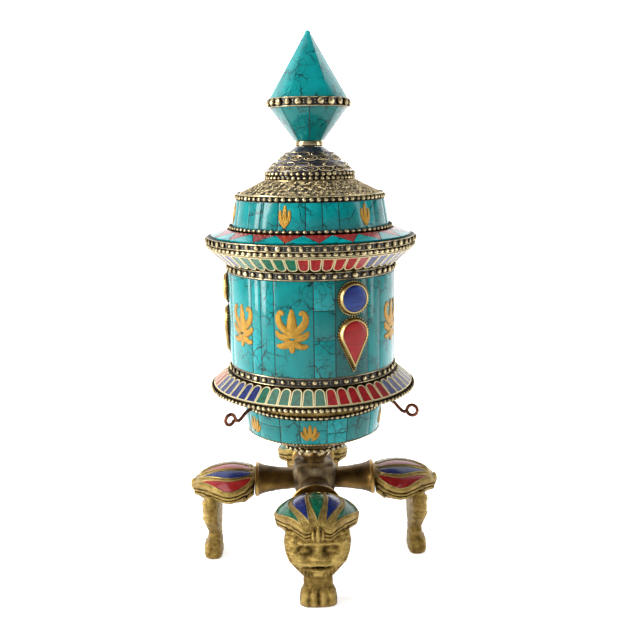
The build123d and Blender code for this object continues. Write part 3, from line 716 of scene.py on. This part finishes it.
def ornaments():
    outer = ring("barrel_stones")[0]
    _, low, high = ring("barrel_ornaments")
    middle = (low + high) / 2
    angles = [SET_ANGLE + 120 * k + offset for k in range(3) for offset in ORNAMENT_OFFSETS]
    ornament_set("barrel", "drum", PALMETTE, [(outer, middle - 10), (outer, middle + 10)], angles, 0.98)
    outer, low, high = ring("lid_stones")
    angles = [-19 + 60 * k for k in range(6)]
    ornament_set("lid", "lid", BUD, [(outer, low), (outer - 1.95, high)], angles, 1.0)
    outer, low, high = ring("cup_stones")
    angles = [-57, -4, 76, 130, 185, 245]
    ornament_set("cup", "drum", LOTUS, [(outer - 1.2, low), (outer, high)], angles, 0.95)


# ---- set stones ---------------------------------------------------------------------------------
def teardrop(radius, centre, tip):
    """Outline of a drop with its point down, as (across, up) points."""
    turn = acos(radius / (centre - tip))
    start, sweep = turn - pi / 2, 2 * (pi - turn)
    turns = [start + sweep * k / 22 for k in range(23)]
    return [(radius * cos(a), centre + radius * sin(a)) for a in turns] + [(0, tip)]


def disc(radius, centre, corners=32):
    return [(radius * cos(a), centre + radius * sin(a)) for a in (tau * k / corners for k in range(corners))]


def bezel_and_stone(outline, wall, height, dome):
    """A bezel with a raised lip, and a low domed stone in it, drawn face up along z from zero."""
    bezel = bmesh.new()
    face = bezel.faces.new([bezel.verts.new((x, y, 0)) for x, y in outline])
    raised = bmesh.ops.extrude_face_region(bezel, geom=[face])
    top_verts = [g for g in raised["geom"] if isinstance(g, bmesh.types.BMVert)]
    bmesh.ops.translate(bezel, verts=top_verts, vec=(0, 0, height * 0.3))
    top = [g for g in raised["geom"] if isinstance(g, bmesh.types.BMFace)]
    # foot, leaning wall, lip, top of the rim, and the step down to the stone
    for across, rise in ((0.12, 0.05), (0.38, 0.55), (0.1, 0.08), (0.25, 0.02), (0.15, -0.1)):
        measures = {"thickness": wall * across, "depth": height * rise}
        bmesh.ops.inset_region(bezel, faces=top, use_even_offset=True, **measures)
    seat = [vert.co.copy() for vert in top[0].verts]
    bmesh.ops.delete(bezel, geom=top, context="FACES_ONLY")
    stone = bmesh.new()
    size = max(abs(co.x) for co in seat)
    middle = Vector((0, max(co.y for co in seat) - size, seat[0].z))
    loops = []
    for k in range(7):
        share, rise = cos(k / 7 * pi / 2), dome * sin(k / 7 * pi / 2)
        loops.append([tuple(middle.lerp(co, share) + Vector((0, 0, rise))) for co in seat])
    stone.faces.new(between(stone, loops)[-1])
    wear(bezel, lambda v: clamp(v.co.z / height) ** 1.5)
    return bezel, stone


def rope(outline, thickness, height):
    """Serrated wire round the foot of a bezel: grains set 1.1 mm apart along its outline."""
    bm = bmesh.new()
    layer = wear_layer(bm)
    points = [Vector((x, y, height)) for x, y in outline]
    for a, b in zip(points, points[1:] + points[:1]):
        run = b - a
        count = max(1, round(run.length / 1.1))
        for k in range(count):
            centre = a + run * (k + 0.5) / count
            for vert in ball(bm, 6, 4, thickness, Matrix.Translation(centre)):
                vert[layer] = 0.3 + 0.5 * (vert.co.z - height) / thickness
    return bm


def set_stones():
    tube = ring("barrel_tube")[0]
    for kind, slot in (("round", "lapis"), ("drop", "coral")):
        _, low, high = ring(kind + "_bezels")
        radius = 7.0
        if kind == "round":
            outline, foot = disc(radius, (low + high) / 2), disc(radius + 0.15, (low + high) / 2, 40)
        else:
            outline = teardrop(radius, high - radius - 0.1, low + 0.5)
            foot = teardrop(radius + 0.15, high - radius - 0.1, low)
        bezel, stone = bezel_and_stone(outline, 1.45, 3.2, 0.7)
        grains = rope(foot, 0.42, 1.55)
        frames, stones = bmesh.new(), bmesh.new()
        for k in range(3):
            stand = Matrix.Translation((0, -tube, 0)) @ Matrix.Rotation(pi / 2, 4, "X")
            stand = facing(SET_ANGLE + 120 * k) @ stand
            merge(frames, bezel, stand)
            merge(frames, grains, stand)
            merge(stones, stone, stand)
        make(kind + "_bezel_cups", frames, ["sheet_brass"], "drum", [kind + "_bezels"])
        make(kind + "_set_stones", stones, [slot + "_cabochon"], "drum", [kind + "_cabochons"])


# ---- lid top ------------------------------------------------------------------------------------
def spiral(radius, start):
    """A flat volute of two turns as (across, up) points, from outside in."""
    points = []
    for k in range(15):
        r, a = radius * (1 - 0.85 * k / 14), start + tau * 2 * k / 14
        points.append((r * cos(a), r * sin(a)))
    return points


def filigree():
    """Gilt wire volutes crowded over the blackened shoulder of the lid."""
    outer, low, high = ring("shoulder_filigree")
    line = [(outer, low + 0.55), (19.2, high)]
    length = hypot(line[1][0] - line[0][0], line[1][1] - line[0][1])
    profile = [(outer - 0.6, low + 0.1), (outer, low + 0.45), (outer - 0.3, low + 0.75)]
    bed = turned(profile + [(19.2, high - 0.1), (18.6, high - 0.6)])
    draw = random.Random(5)
    paths = []
    rows = 5
    for row in range(rows):
        along = length * (row + 0.5) / rows
        radius = line[0][0] + (line[1][0] - line[0][0]) * along / length
        size = length / rows * 0.56
        count = round(tau * radius / (size * 1.95))
        for k in range(count):
            place = on_cone(line, 360 * (k + 0.5 * (row % 2)) / count, along, 0.0)
            flip = 1 if (k + row) % 2 else -1
            turn = draw.uniform(0, tau)
            volute = spiral(size * draw.uniform(0.9, 1.1), turn)
            loop = [place @ Vector((flip * x, y, 0.10)) for x, y in volute]
            lead = place @ Vector((flip * size * 1.6, draw.uniform(-1, 1) * size, 0.05))
            tail = place @ Vector((-flip * size * 0.2, size * 1.2, 0.12))
            paths += [loop, [lead, loop[1], tail]]
    lace = wires(paths, 0.19, 0)
    wear(lace, lambda v: 0.85 + 0.3 * noise.noise(v.co * 0.5))
    merge(bed, lace, finish=1)
    for radius, z in ((20.0, high - 0.2), (outer - 0.25, low + 0.75)):
        hoop(bed, radius, z, 0.3, finish=1)
    make("shoulder_lace", bed, ["filler", "lace_brass"], "lid", ["shoulder_filigree"])


def cap():
    """Enamelled cap with two double rows of wire loops like overlapping scales."""
    outer, low, high = ring("cap_dome")
    profile = [(17.6, low), (outer + 0.2, low + 0.4), (18.3, 180.6), (17.6, 182.2), (15.8, 184.1)]
    profile += [(12.7, 186.6), (9.4, 189.1), (7.2, 190.7), (6.4, high - 0.02), (2.6, high - 0.02)]
    bm = turned(profile)
    loops, draw = [], random.Random(12)
    turns = [tau * j / 8 for j in range(8)]
    rows = [
        # height, radius of the cap there, loops round it, half height of a loop, half width
        (182.2, 17.7, 17, 1.55, 3.5),
        (183.9, 16.2, 17, 1.5, 3.2),
        (186.6, 12.8, 13, 1.5, 3.1),
        (188.2, 10.7, 13, 1.35, 2.7),
    ]
    for row, (z, radius, count, half_height, half_width) in enumerate(rows):
        for k in range(count):
            angle = 360 * (k + 0.5 * (row % 2) + draw.uniform(-0.1, 0.1)) / count
            place = on_cone([(radius + 0.9, z - 0.8), (radius - 0.9, z + 0.7)], angle, 1.1, 0.14)
            # the lower row of each pair has a small loop inside each large one
            for wide, tall in ((1.0, 1.0), (0.45, 0.4)) if row % 2 == 0 else ((1.0, 1.0),):
                oval = [(wide * half_width * cos(a), tall * half_height * sin(a), 0.0) for a in turns]
                loops.append([place @ Vector(point) for point in oval])
    net = wires(loops, 0.18, 0, cyclic=True)
    wear(net, lambda v: 0.95)
    merge(bm, net, finish=1)
    make("cap_scales", bm, ["enamel", "lace_brass"], "lid", ["cap_dome"])


def neck():
    outer, low, high = ring("neck_ring")
    side = [(outer - 0.5, low), (outer + 0.05, low + 0.6), (outer, high - 0.7), (outer - 0.4, high)]
    bm = turned([(2.6, low), *side, (2.6, high)])
    make("neck_collar", bm, ["turned_brass"], "lid", ["neck_ring"])


def finial():
    """Double pyramid of stone slabs: six sides above the bead band and eight below."""
    girdle = 17.0
    for name, half, sides, turn in (("finial_spire", "upper", 6, 30.0), ("finial_keel", "lower", 8, 0.0)):
        node, spire = f"finial_{half}_stones", half == "upper"
        _, low, high = ring(node)
        (r0, z0), (r1, z1) = ((girdle, low), (0.9, high - 0.5)) if spire else ((6.6, low), (girdle, high))
        draw, seam = random.Random(name), 0.1 if spire else 0.24
        bm = bmesh.new()
        bm.faces.layers.float.new("chip")
        for k in range(sides):
            ways = [facing(turn + 360 * (k + side) / sides) @ Vector((0, -1, 0)) for side in (0, 1)]
            sideways = (ways[1] - ways[0]).normalized()
            foot, head = Vector((0, 0, z0)), Vector((0, 0, z1))
            chip = bmesh.new()
            v = []
            for depth in (0.0, 1.2):
                for way in ways:
                    inward = (ways[0] + ways[1]).normalized() * depth
                    v.append(chip.verts.new(way * r0 - inward + foot))
                    v.append(chip.verts.new(way * max(r1, 0.4) - inward * min(1.0, r1 / 3) + head))
            for face in ((0, 2, 3, 1), (4, 5, 7, 6), (0, 1, 5, 4), (2, 6, 7, 3), (0, 4, 6, 2), (1, 3, 7, 5)):
                chip.faces.new([v[n] for n in face])
            middle = sum((vert.co for vert in v[:4]), Vector()) / 4
            for vert in v:
                vert.co -= sideways * (seam if (vert.co - middle).dot(sideways) > 0 else -seam)
            bmesh.ops.recalc_face_normals(chip, faces=chip.faces)
            chip_layer = chip.faces.layers.float.new("chip")
            # the keel's chips get darker tones as painted shade of its downward faces; the spire's keep light
            # ones
            shade = draw.uniform(0.0, 0.35) if spire else draw.uniform(0.8, 1.3)
            soften(chip, 0.16)
            for face in chip.faces:
                face[chip_layer] = shade
            merge(bm, chip)
        core = bmesh.new()
        place = Matrix.Translation((0, 0, (z0 + z1) / 2)) @ facing(turn)
        radii = {"radius1": r0 - 0.2, "radius2": max(0.3, r1 - 0.2)}
        bmesh.ops.create_cone(core, cap_ends=True, segments=sides, depth=z1 - z0 - 0.1, matrix=place, **radii)
        merge(bm, core, finish=1)
        if spire:
            ball(bm, 16, 10, 1.3, Matrix.Translation((0, 0, high - 1.3)))
        make(name, bm, ["turquoise", "filler"], "lid", [node])


# ---- turned brass of the drum -------------------------------------------------------------------
def drum_bottom():
    """Spun floor and wall of the cup, with a rolled lower edge."""
    outer, low, high = ring("drum_cup")
    cup_r, cup_low, cup_high = ring("cup_stones")
    bm = turned(
        [
            (5.1, low + 0.6), (5.1, low), (13.4, low),
            (14.0, low + 0.2), (20.0, low + 2.9), (26.5, low + 5.8),
            (cup_r - 3.1, cup_low - 1.2), (cup_r - 1.9, cup_low - 0.5), (cup_r - 1.75, cup_low + 0.4),
            (cup_r - 1.0, cup_high), (cup_r - 1.0, high - 1.2), (outer, high - 1.2), (outer, high),
            (cup_r - 2.2, high), (cup_r - 2.2, cup_high), (cup_r - 3.0, cup_low + 0.6),
            (14.0, low + 1.2), (5.1, low + 1.2),
        ],
        closed=True,
    )
    wear(bm, lambda v: 0.45 + 0.3 * noise.noise(v.co * 0.2))
    bead_row(bm, cup_r - 1.35, cup_low - 0.15, 0.36, 120, 9, stretch=1.3)
    make("cup_body", bm, ["sheet_brass"], "drum", ["drum_cup"])
    underneath = bmesh.new()
    bead_row(underneath, 13.2, low - 1.6, 0.8, 34, 14)
    make("foot_grains", underneath, ["bead_brass"], "drum")


def bowl():
    outer, low, high = ring("bearing_bowl")
    side = [(5.0, low), (5.2, low + 0.7), (6.2, low + 1.9), (7.5, low + 3.6), (8.4, low + 5.6)]
    side += [(outer, high - 0.7), (outer - 0.1, high)]
    bm = turned([(3.1, low), *side, (3.1, high)], closed=True)
    make("polished_bowl", bm, ["turned_brass"], "base", ["bearing_bowl"])


def scroll():
    """Rolled sheets: one cylinder whose end shows the turns of the roll."""
    outer, low, high = ring("mantra_scroll")
    turns = 26
    step = (outer - 4.5) / turns
    top = []
    for k in range(turns):
        r = outer - k * step
        end = high - 0.05 - 0.3 * (k % 3)
        top += [(r, end - 0.3), (r - step * 0.15, end), (r - step * 0.8, end), (r - step * 0.95, high - 1.0)]
    section = [(4.5, low), (outer - 0.3, low), (outer, low + 0.4), *top, (4.5, high - 1.0)]
    bm = turned(section, steps=96, closed=True)
    for z in (low + 18, low + 40, low + 62, high - 8):
        hoop(bm, outer + 0.12, z, 0.22, steps=96)
    make("paper_roll", bm, ["paper"], "drum", ["mantra_scroll"])


def eyelets():
    """Bent copper wire: a root under the flange, an S bend, and an open eye."""
    paths = []
    eye, eye_r = (46.9, 76.0), 2.4
    for angle, drop in ((-51.0, 0.6), (70.0, -1.2), (190.0, 0.0)):
        z = eye[1] + drop
        route = [(0, 31.6, 79.3), (0.2, 35.0, 79.4), (0.5, 38.4, 78.4 + drop * 0.4)]
        route += [(0.7, 40.6, z + 0.4), (0.6, 42.6, z - 1.3), (0.3, 44.2, z - 1.0)]
        for k in range(13):
            a = 0.25 + tau * k / 13
            route.append((0.3 - 0.7 * k / 12, eye[0] - eye_r * cos(a), z + eye_r * sin(a)))
        paths.append([facing(angle) @ Vector((x, -r, h)) for x, r, h in route])
    bm = wires(paths, 0.78, 3)
    make("wire_eyelets", bm, ["copper"], "drum", ["hanging_eyelets"])


# ---- base ---------------------------------------------------------------------------------------
def rough_cast(bm, size, height, seed):
    """Moves a surface in and out like sand-cast metal."""
    for vert in bm.verts:
        place = vert.co / size + Vector((seed, 0, 0))
        vert.co += vert.normal * noise.fractal(place, 0.8, 2.0, 4) * height


def hub():
    half, z0, z1 = ring("cross_hub")
    bm = bmesh.new()
    bmesh.ops.create_cube(bm, size=1.0)
    bmesh.ops.subdivide_edges(bm, edges=bm.edges[:], cuts=11, use_grid_fill=True)
    for vert in bm.verts:
        vert.co = vert.co.lerp(vert.co.normalized() * 0.62, 0.55)
    bmesh.ops.scale(bm, vec=(2 * half, 2 * half, z1 - z0 - 1.0), verts=bm.verts)
    bmesh.ops.translate(bm, vec=(0, 0, (z0 + z1) / 2 - 0.2), verts=bm.verts)
    bm.normal_update()
    rough_cast(bm, 5.0, 0.8, 3.0)
    wear(bm, lambda v: 0.5 + 0.6 * noise.noise(v.co * 0.25))
    make("hub_casting", bm, ["hub_brass"], "base", ["cross_hub"])


ARM_Z = 37.2
SIDES = {"front": 0, "right": 90, "back": 180, "left": 270}


def arms():
    """Trumpet arms of oval section, each ending in a thin collar."""
    profile = [(9.0, 4.5), (12.0, 4.7), (17.0, 5.1), (21.5, 5.75), (24.5, 6.4)]
    profile += [(26.0, 7.0), (26.5, 7.5), (27.5, 7.6), (27.9, 7.3), (27.9, 0.1)]
    bm = bmesh.new()
    revolve(bm, [(0, -r, h) for r, h in profile], (0, 1, 0), 40)
    for vert in bm.verts:
        vert.co.x *= 1.42
        vert.co.z += ARM_Z
    lengthwise = [e for e in bm.edges if abs(e.verts[0].co.y - e.verts[1].co.y) > 2]
    bmesh.ops.subdivide_edges(bm, edges=lengthwise, cuts=2)
    weld(bm, 0.01)
    bmesh.ops.recalc_face_normals(bm, faces=bm.faces)
    bm.normal_update()
    rough_cast(bm, 5.0, 0.16, 8.0)
    wear(bm, lambda v: (0.95 if 26.2 < -v.co.y < 27.8 else 0.4) + 0.35 * noise.noise(v.co * 0.2))
    for side, angle in SIDES.items():
        copy = bm.copy()
        copy.transform(facing(angle))
        make(f"arm_{side}_casting", copy, ["arm_brass"], "base", [f"arm_{side}"])


# half width of the shell at distances from the spindle, from the collar to the notched tip
SHELL_WIDTHS = [(27.95, 8.6), (29.5, 10.8), (32.0, 14.2), (35.5, 17.3), (38.8, 18.5)]
SHELL_WIDTHS += [(42.0, 17.9), (46.0, 15.2), (52.0, 10.1), (57.2, 5.6)]
DOME = (39.5, 16.5, 27.5)  # distance, height and radius of the sphere that the shell's top follows
# share of the half width at which each stone starts and ends, and whether it is a lapis one
STONE_BANDS = [(-0.95, -0.66, 0), (-0.58, -0.255, 1), (-0.18, 0.18, 0), (0.255, 0.58, 1), (0.66, 0.95, 0)]
STONE_RUN = (29.6, 54.6)


def shell_width(s):
    for (s0, w0), (s1, w1) in zip(SHELL_WIDTHS, SHELL_WIDTHS[1:]):
        if s <= s1:
            return w0 + (w1 - w0) * (s - s0) / (s1 - s0)
    return SHELL_WIDTHS[-1][1]


def dome_height(s, x):
    centre, base, radius = DOME
    return base + sqrt(radius**2 - (s - centre) ** 2 - x**2)


def dome_point(s, x, lift=0.0):
    point = Vector((x, -s, dome_height(s, x)))
    normal = (point - Vector((0, -DOME[0], DOME[1]))).normalized()
    return point + normal * lift


def stone_edge(band, s, side):
    """Across position of a stone's edge; the stones narrow to points short of the tip."""
    low, high = band[:2]
    start, end = STONE_RUN
    narrow = 1.0 if s < 42.0 else max(0.0, 1 - ((s - 42.0) / (end - 42.0)) ** 1.9)
    opening = min(1.0, (s - start) / 3.0 + 0.55)
    middle, half = (low + high) / 2, (high - low) / 2 * narrow * opening
    return (middle + side * half) * shell_width(s)


def shell_stone(band):
    """One lens of ground stone on the dome, slightly crowned."""
    across, along = 8, 26
    start, end = STONE_RUN
    bm = bmesh.new()
    bmesh.ops.create_grid(bm, x_segments=across, y_segments=along, size=1.0)
    for vert in bm.verts:
        s = start + (end - start) * (vert.co.y + 1) / 2
        x0, x1 = stone_edge(band, s, -1), stone_edge(band, s, 1)
        crown = 0.18 * (1 - vert.co.x**4) - 0.06
        vert.co = dome_point(s, x0 + (x1 - x0) * (vert.co.x + 1) / 2, crown)
    weld(bm, 0.01)
    return bm


def stone_wire(band):
    """Path of the wire round a stone: up its left edge and back down its right one."""
    start, end = STONE_RUN
    stops = [(k, -1) for k in range(15)] + [(k, 1) for k in range(13, -1, -1)]
    stops = [(start + (end - start) * k / 14, side) for k, side in stops]
    return [dome_point(s, stone_edge(band, s, side), 0.05) for s, side in stops]


def shell_casting():
    """Domed shell with a grooved rim and a pleated tip."""
    bm = bmesh.new()
    bmesh.ops.create_grid(bm, x_segments=28, y_segments=34, size=1.0)
    for vert in bm.verts:
        s = 27.95 + (57.2 - 27.95) * (vert.co.y + 1) / 2
        across = vert.co.x
        pull = 1.9 * exp(-((across * shell_width(s) / 2.6) ** 2)) if s > 57.0 else 0.0
        vert.co = dome_point(s - pull, across * shell_width(s))
    rim = [e for e in bm.edges if e.is_boundary]
    centre = Vector((0, -DOME[0], 0))
    # scale and drop of each line down the rim, with two grooves
    steps = [(1.0, -0.4), (0.99, -1.2), (0.955, -1.4), (0.95, -1.7), (0.985, -2.0), (0.98, -2.8)]
    steps += [(0.94, -3.0), (0.935, -3.3), (0.97, -3.6), (0.955, -4.6), (0.9, -5.2)]
    rest = {}
    for scale, drop in steps:
        made = bmesh.ops.extrude_edge_only(bm, edges=rim)["geom"]
        verts = [g for g in made if isinstance(g, bmesh.types.BMVert)]
        rim = [g for g in made if isinstance(g, bmesh.types.BMEdge) and g.is_boundary]
        for vert in verts:
            others = [edge.other_vert(vert) for edge in vert.link_edges]
            above = min((v for v in others if v not in verts), key=lambda v: (v.co - vert.co).length)
            top = rest.get(above, above.co.copy())
            rest[vert] = top
            side = (top - centre) * scale + centre
            z = top.z * 0.35 + ARM_Z * 0.65 + drop if top.z < 39 else top.z + drop * 1.6
            vert.co = (side.x, side.y, z)
    bmesh.ops.holes_fill(bm, edges=[e for e in bm.edges if e.is_boundary], sides=0)
    bmesh.ops.recalc_face_normals(bm, faces=bm.faces)
    bm.verts.index_update()
    bm.edges.index_update()
    folds = {e.index for e in bm.edges if e.is_manifold and e.calc_face_angle_signed(0) < -0.35}
    hollows = [any(e.index in folds for e in v.link_edges) for v in bm.verts]
    wear(bm, lambda v: (0.15 if hollows[v.index] else 0.65) + 0.3 * noise.noise(v.co * 0.3))
    prong = bmesh.new()
    pleats = ((0.0, 58.6, 0.0, 0.95), (1.9, 57.6, 0.5, 0.85), (-1.9, 57.6, 0.5, 0.85))
    for across, reach, drop, width in pleats:
        shape = Matrix.Diagonal((width, 1.6, 3.1 - drop, 1))
        ball(prong, 12, 10, 1.0, Matrix.Translation((across, -(reach - 1.6), 35.4 - drop)) @ shape)
    wear(prong, lambda v: 0.8)
    merge(bm, prong)
    return bm


# bumps of the lion mask: across, height, radius across, radius up, how far it stands out
MASK_BUMPS = [
    (4.6, 29.0, 3.4, 1.1, 1.3), (7.4, 29.8, 1.8, 1.0, 0.8),  # brows
    (5.2, 26.0, 3.2, 2.4, -1.0), (5.2, 26.0, 1.7, 1.3, 1.9), (5.2, 25.9, 0.6, 0.6, -0.6),  # eyes
    (0.0, 26.4, 1.5, 2.6, 1.3), (0.0, 30.2, 1.2, 1.3, 0.9),  # bridge and forehead
    (0.0, 22.6, 2.4, 1.3, 1.9), (2.5, 22.2, 1.2, 1.0, 1.3), (2.0, 21.3, 0.5, 0.4, -0.8),  # nose
    (7.6, 21.8, 2.4, 2.6, 1.3), (10.6, 25.0, 1.8, 3.4, 0.9), (11.0, 29.8, 1.4, 1.6, 1.0),  # cheeks and ears
    (3.0, 19.6, 3.2, 1.1, 1.5), (0.0, 18.0, 4.0, 0.45, -1.3),  # lip and mouth
    (0.0, 16.7, 3.4, 0.8, 1.1), (3.0, 18.4, 0.5, 0.8, 0.9),  # lower lip and fangs
    (0.0, 14.6, 3.2, 1.0, 0.7),  # chin
]


def mask_relief(x, z):
    """How far the mask stands out at a point of its face."""
    height = 0.0
    for bx, bz, rx, rz, out in MASK_BUMPS:
        for side in {bx, -bx}:
            height += 1.3 * out * exp(-(((x - side) / rx) ** 2) - ((z - bz) / rz) ** 2)
    if z > 12.5:
        curls = noise.noise(Vector((abs(x) * 0.62, z * 0.62, 4.0)))
        edge = clamp((abs(x) - 5.5) / 4.0)
        fine = noise.noise(Vector((abs(x) * 1.3, z * 1.3, 9.0)))
        height += (1.7 * abs(curls) + 0.45 * abs(fine)) * (0.3 + edge) - 0.3
        beard = max(0.0, 1 - abs(z - 15.0) / 3.0)
        height += 0.35 * beard * cos(x * 4.2)
    return height


# half width and half depth of the leg up its height, and how far its middle is from the spindle
LEG_SECTIONS = [
    (0.0, 7.2, 3.6, 48.6), (0.7, 8.0, 4.1, 48.7), (3.0, 8.05, 4.1, 48.7), (6.0, 7.6, 3.9, 48.5),
    (8.2, 6.5, 3.2, 48.1), (8.9, 6.0, 3.0, 48.0), (9.6, 6.3, 3.2, 48.0), (11.6, 6.3, 3.2, 48.0),
    (12.3, 5.9, 3.0, 48.0), (13.2, 6.3, 3.1, 48.0), (14.6, 7.6, 3.3, 48.0), (17.0, 9.8, 3.4, 48.0),
    (20.0, 12.3, 3.4, 48.0), (24.0, 13.7, 3.4, 48.0), (29.0, 14.2, 3.6, 47.9), (34.2, 13.4, 3.6, 47.6),
]


def leg_section(z):
    for (z0, *a), (z1, *b) in zip(LEG_SECTIONS, LEG_SECTIONS[1:]):
        if z <= z1:
            share = (z - z0) / (z1 - z0)
            return [p + (q - p) * share for p, q in zip(a, b)]
    return LEG_SECTIONS[-1][1:]


SQUARENESS = 0.62  # of the leg's section: 1 is an oval, and less is squarer


def leg_casting():
    """Leg with a lion mask on its outer face, a band round the ankle and a paw of four toes."""
    around, up = 84, 96
    top = LEG_SECTIONS[-1][0]
    bm = bmesh.new()
    bmesh.ops.create_grid(bm, x_segments=around, y_segments=up, size=1.0)
    relief = wear_layer(bm)
    for vert in bm.verts:
        turn, z = pi * (vert.co.x + 1), top * (vert.co.y + 1) / 2
        half_w, half_d, middle = leg_section(z)
        x = half_w * (1 if sin(turn) > 0 else -1) * abs(sin(turn)) ** SQUARENESS
        depth = half_d * (1 if cos(turn) > 0 else -1) * abs(cos(turn)) ** SQUARENESS
        out = 0.0
        facing_out = max(0.0, cos(turn)) ** 0.5
        if z > 12.5:
            out = mask_relief(x, z) * facing_out
        elif z < 8.0:
            toes = abs(sin((x / half_w) * pi * 2.0)) ** 0.6
            out = (toes * 1.3 - 0.6) * facing_out * min(1.0, z / 2.0) * min(1.0, (8.2 - z) / 2.0)
        out += 0.25 * noise.noise(Vector((x * 0.7, depth * 0.7, z * 0.7)))
        vert.co = (x, -(middle + depth + max(-1.4, out)), z)
        vert[relief] = clamp(0.42 + 0.5 * out)
    weld(bm, 0.005)
    bmesh.ops.holes_fill(bm, edges=[e for e in bm.edges if e.is_boundary], sides=0)
    for vert in bm.verts:
        vert.co.z = max(0.0, vert.co.z)
    return bm


def legs():
    casting = shell_casting()
    merge(casting, leg_casting())
    wires_on_shell = wires([stone_wire(band) for band in STONE_BANDS], 0.32, 1, cyclic=True)
    wear(wires_on_shell, lambda v: 0.8)
    merge(casting, wires_on_shell, finish=1)
    groups = {name: bmesh.new() for name in ("coral", "lapis", "malachite")}
    for side, angle in SIDES.items():
        copy = casting.copy()
        copy.transform(facing(angle))
        finishes, nodes = ["cast_brass", "line_brass"], [f"leg_{side}"]
        make(f"leg_{side}_casting", copy, finishes, "base", nodes, sharp=60)
        outer_stone = "coral" if side in ("left", "right") else "malachite"
        for band in STONE_BANDS:
            merge(groups["lapis" if band[2] else outer_stone], shell_stone(band), facing(angle))
    for name, bm in groups.items():
        make(f"shell_lenses_{name}", bm, [name], "base", [f"shell_stripes_{name}"])


def carried_over_parts():
    """CAD parts that keep their shape and get their finish here."""
    finishes = {
        "sheet_brass": "upper_flange lower_flange barrel_tube lid_shell finial_core "
        "lower_bush top_bush spindle_nut",
        "turned_brass": "thrust_washer",
        "steel": "spindle",
        "coral": "flange_triangles_coral",
        "turquoise": "flange_triangles_turquoise",
    }
    for finish, nodes in finishes.items():
        for node in nodes.split():
            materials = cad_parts[node].data.materials
            materials.clear()
            materials.append(FINISH[finish])


# ---- stage --------------------------------------------------------------------------------------
def stage():
    glow = {"Roughness": 0.9, "Emission_Color": (1, 1, 1, 1), "Emission_Strength": 1.0}
    paper, tree, place = shader("white_paper_floor", **glow)
    surface = tree.nodes["Principled BSDF"].inputs
    tone = clouds(tree, place, 300.0)
    tree.links.new(layers(tree, "#FAFAF9", (tone, 0.0, 1.0, 1.0, "#FFFFFF")), surface["Base Color"])
    # the paper glows softly towards the back, so that it runs into the white wall without an edge
    back = add(tree, "ShaderNodeSeparateXYZ", None, {0: place}).outputs[1]
    tree.links.new(ramp(tree, back, -0.3, 0.3, 0.25, 1.0), surface["Emission Strength"])
    wall = shader("white_paper_wall", **glow)[0]
    planes = (("floor", paper, (0, 0, 0), (0, 0, 0)), ("backdrop", wall, (0, 2.5, 3.0), (pi / 2, 0, 0)))
    for name, material, location, rotation in planes:
        bpy.ops.mesh.primitive_plane_add(size=8.0, location=location, rotation=rotation)
        plane = bpy.context.object
        plane.name = name
        plane.data.materials.append(material)
    bpy.context.scene.view_settings.view_transform = "Standard"
    world = bpy.data.worlds.new("studio")
    bpy.context.scene.world = world
    world.use_nodes = True
    tree = world.node_tree
    sky = tree.nodes["Background"]
    ways = add(tree, "ShaderNodeSeparateXYZ", None, {0: add(tree, "ShaderNodeTexCoord").outputs["Generated"]})
    side = ramp(tree, ways.outputs[0], -0.9, 0.5, 0.6, 0.1)
    horizon = ramp(tree, maths(tree, "ABSOLUTE", ways.outputs[2]), 0.1, 0.25, 0.8, 0.0)
    tree.links.new(maths(tree, "MAXIMUM", side, horizon), sky.inputs["Strength"])
    sky.inputs["Color"].default_value = linear("#F4F6FA")
    lamps = [
        # name, place, aimed at, width, height, watts
        ("window_left", (-0.85, -0.22, 0.42), (0, 0, 0.13), 0.3, 0.8, 11),
        ("soft_top", (-0.2, -0.1, 1.0), (0, 0, 0.12), 0.6, 0.6, 3.5),
        ("fill_right", (0.85, -0.15, 0.3), (0, 0, 0.12), 0.2, 0.7, 2.0),
    ]
    for name, place, aim, width, height, watts in lamps:
        light = bpy.data.lights.new(name, "AREA")
        light.shape, light.size, light.size_y, light.energy = "RECTANGLE", width, height, watts
        lamp = bpy.data.objects.new(name, light)
        lamp.location = place
        lamp.rotation_euler = (Vector(aim) - Vector(place)).to_track_quat("-Z", "Y").to_euler()
        bpy.context.scene.collection.objects.link(lamp)
    lens = bpy.data.cameras.new("camera")
    lens.lens, lens.sensor_width = 46.97, 36.0
    camera = bpy.data.objects.new("camera", lens)
    camera.location = (-0.0068, -0.3740, 0.191)
    heading, tilt, roll = ((-1.6, "Z"), (90 - 11.69, "X"), (-0.79, "Z"))
    turns = [Matrix.Rotation(radians(angle), 3, axis) for angle, axis in (heading, tilt, roll)]
    camera.rotation_euler = (turns[0] @ turns[1] @ turns[2]).to_euler()
    bpy.context.scene.collection.objects.link(camera)
    bpy.context.scene.camera = camera


stage()
bead_bands()
bead_wires()
cap_bead_rows()
barrel_walls()
lid_walls()
cup_walls()
petal_rows()
ornaments()
set_stones()
filigree()
cap()
neck()
finial()
drum_bottom()
bowl()
scroll()
eyelets()
hub()
arms()
legs()
carried_over_parts()
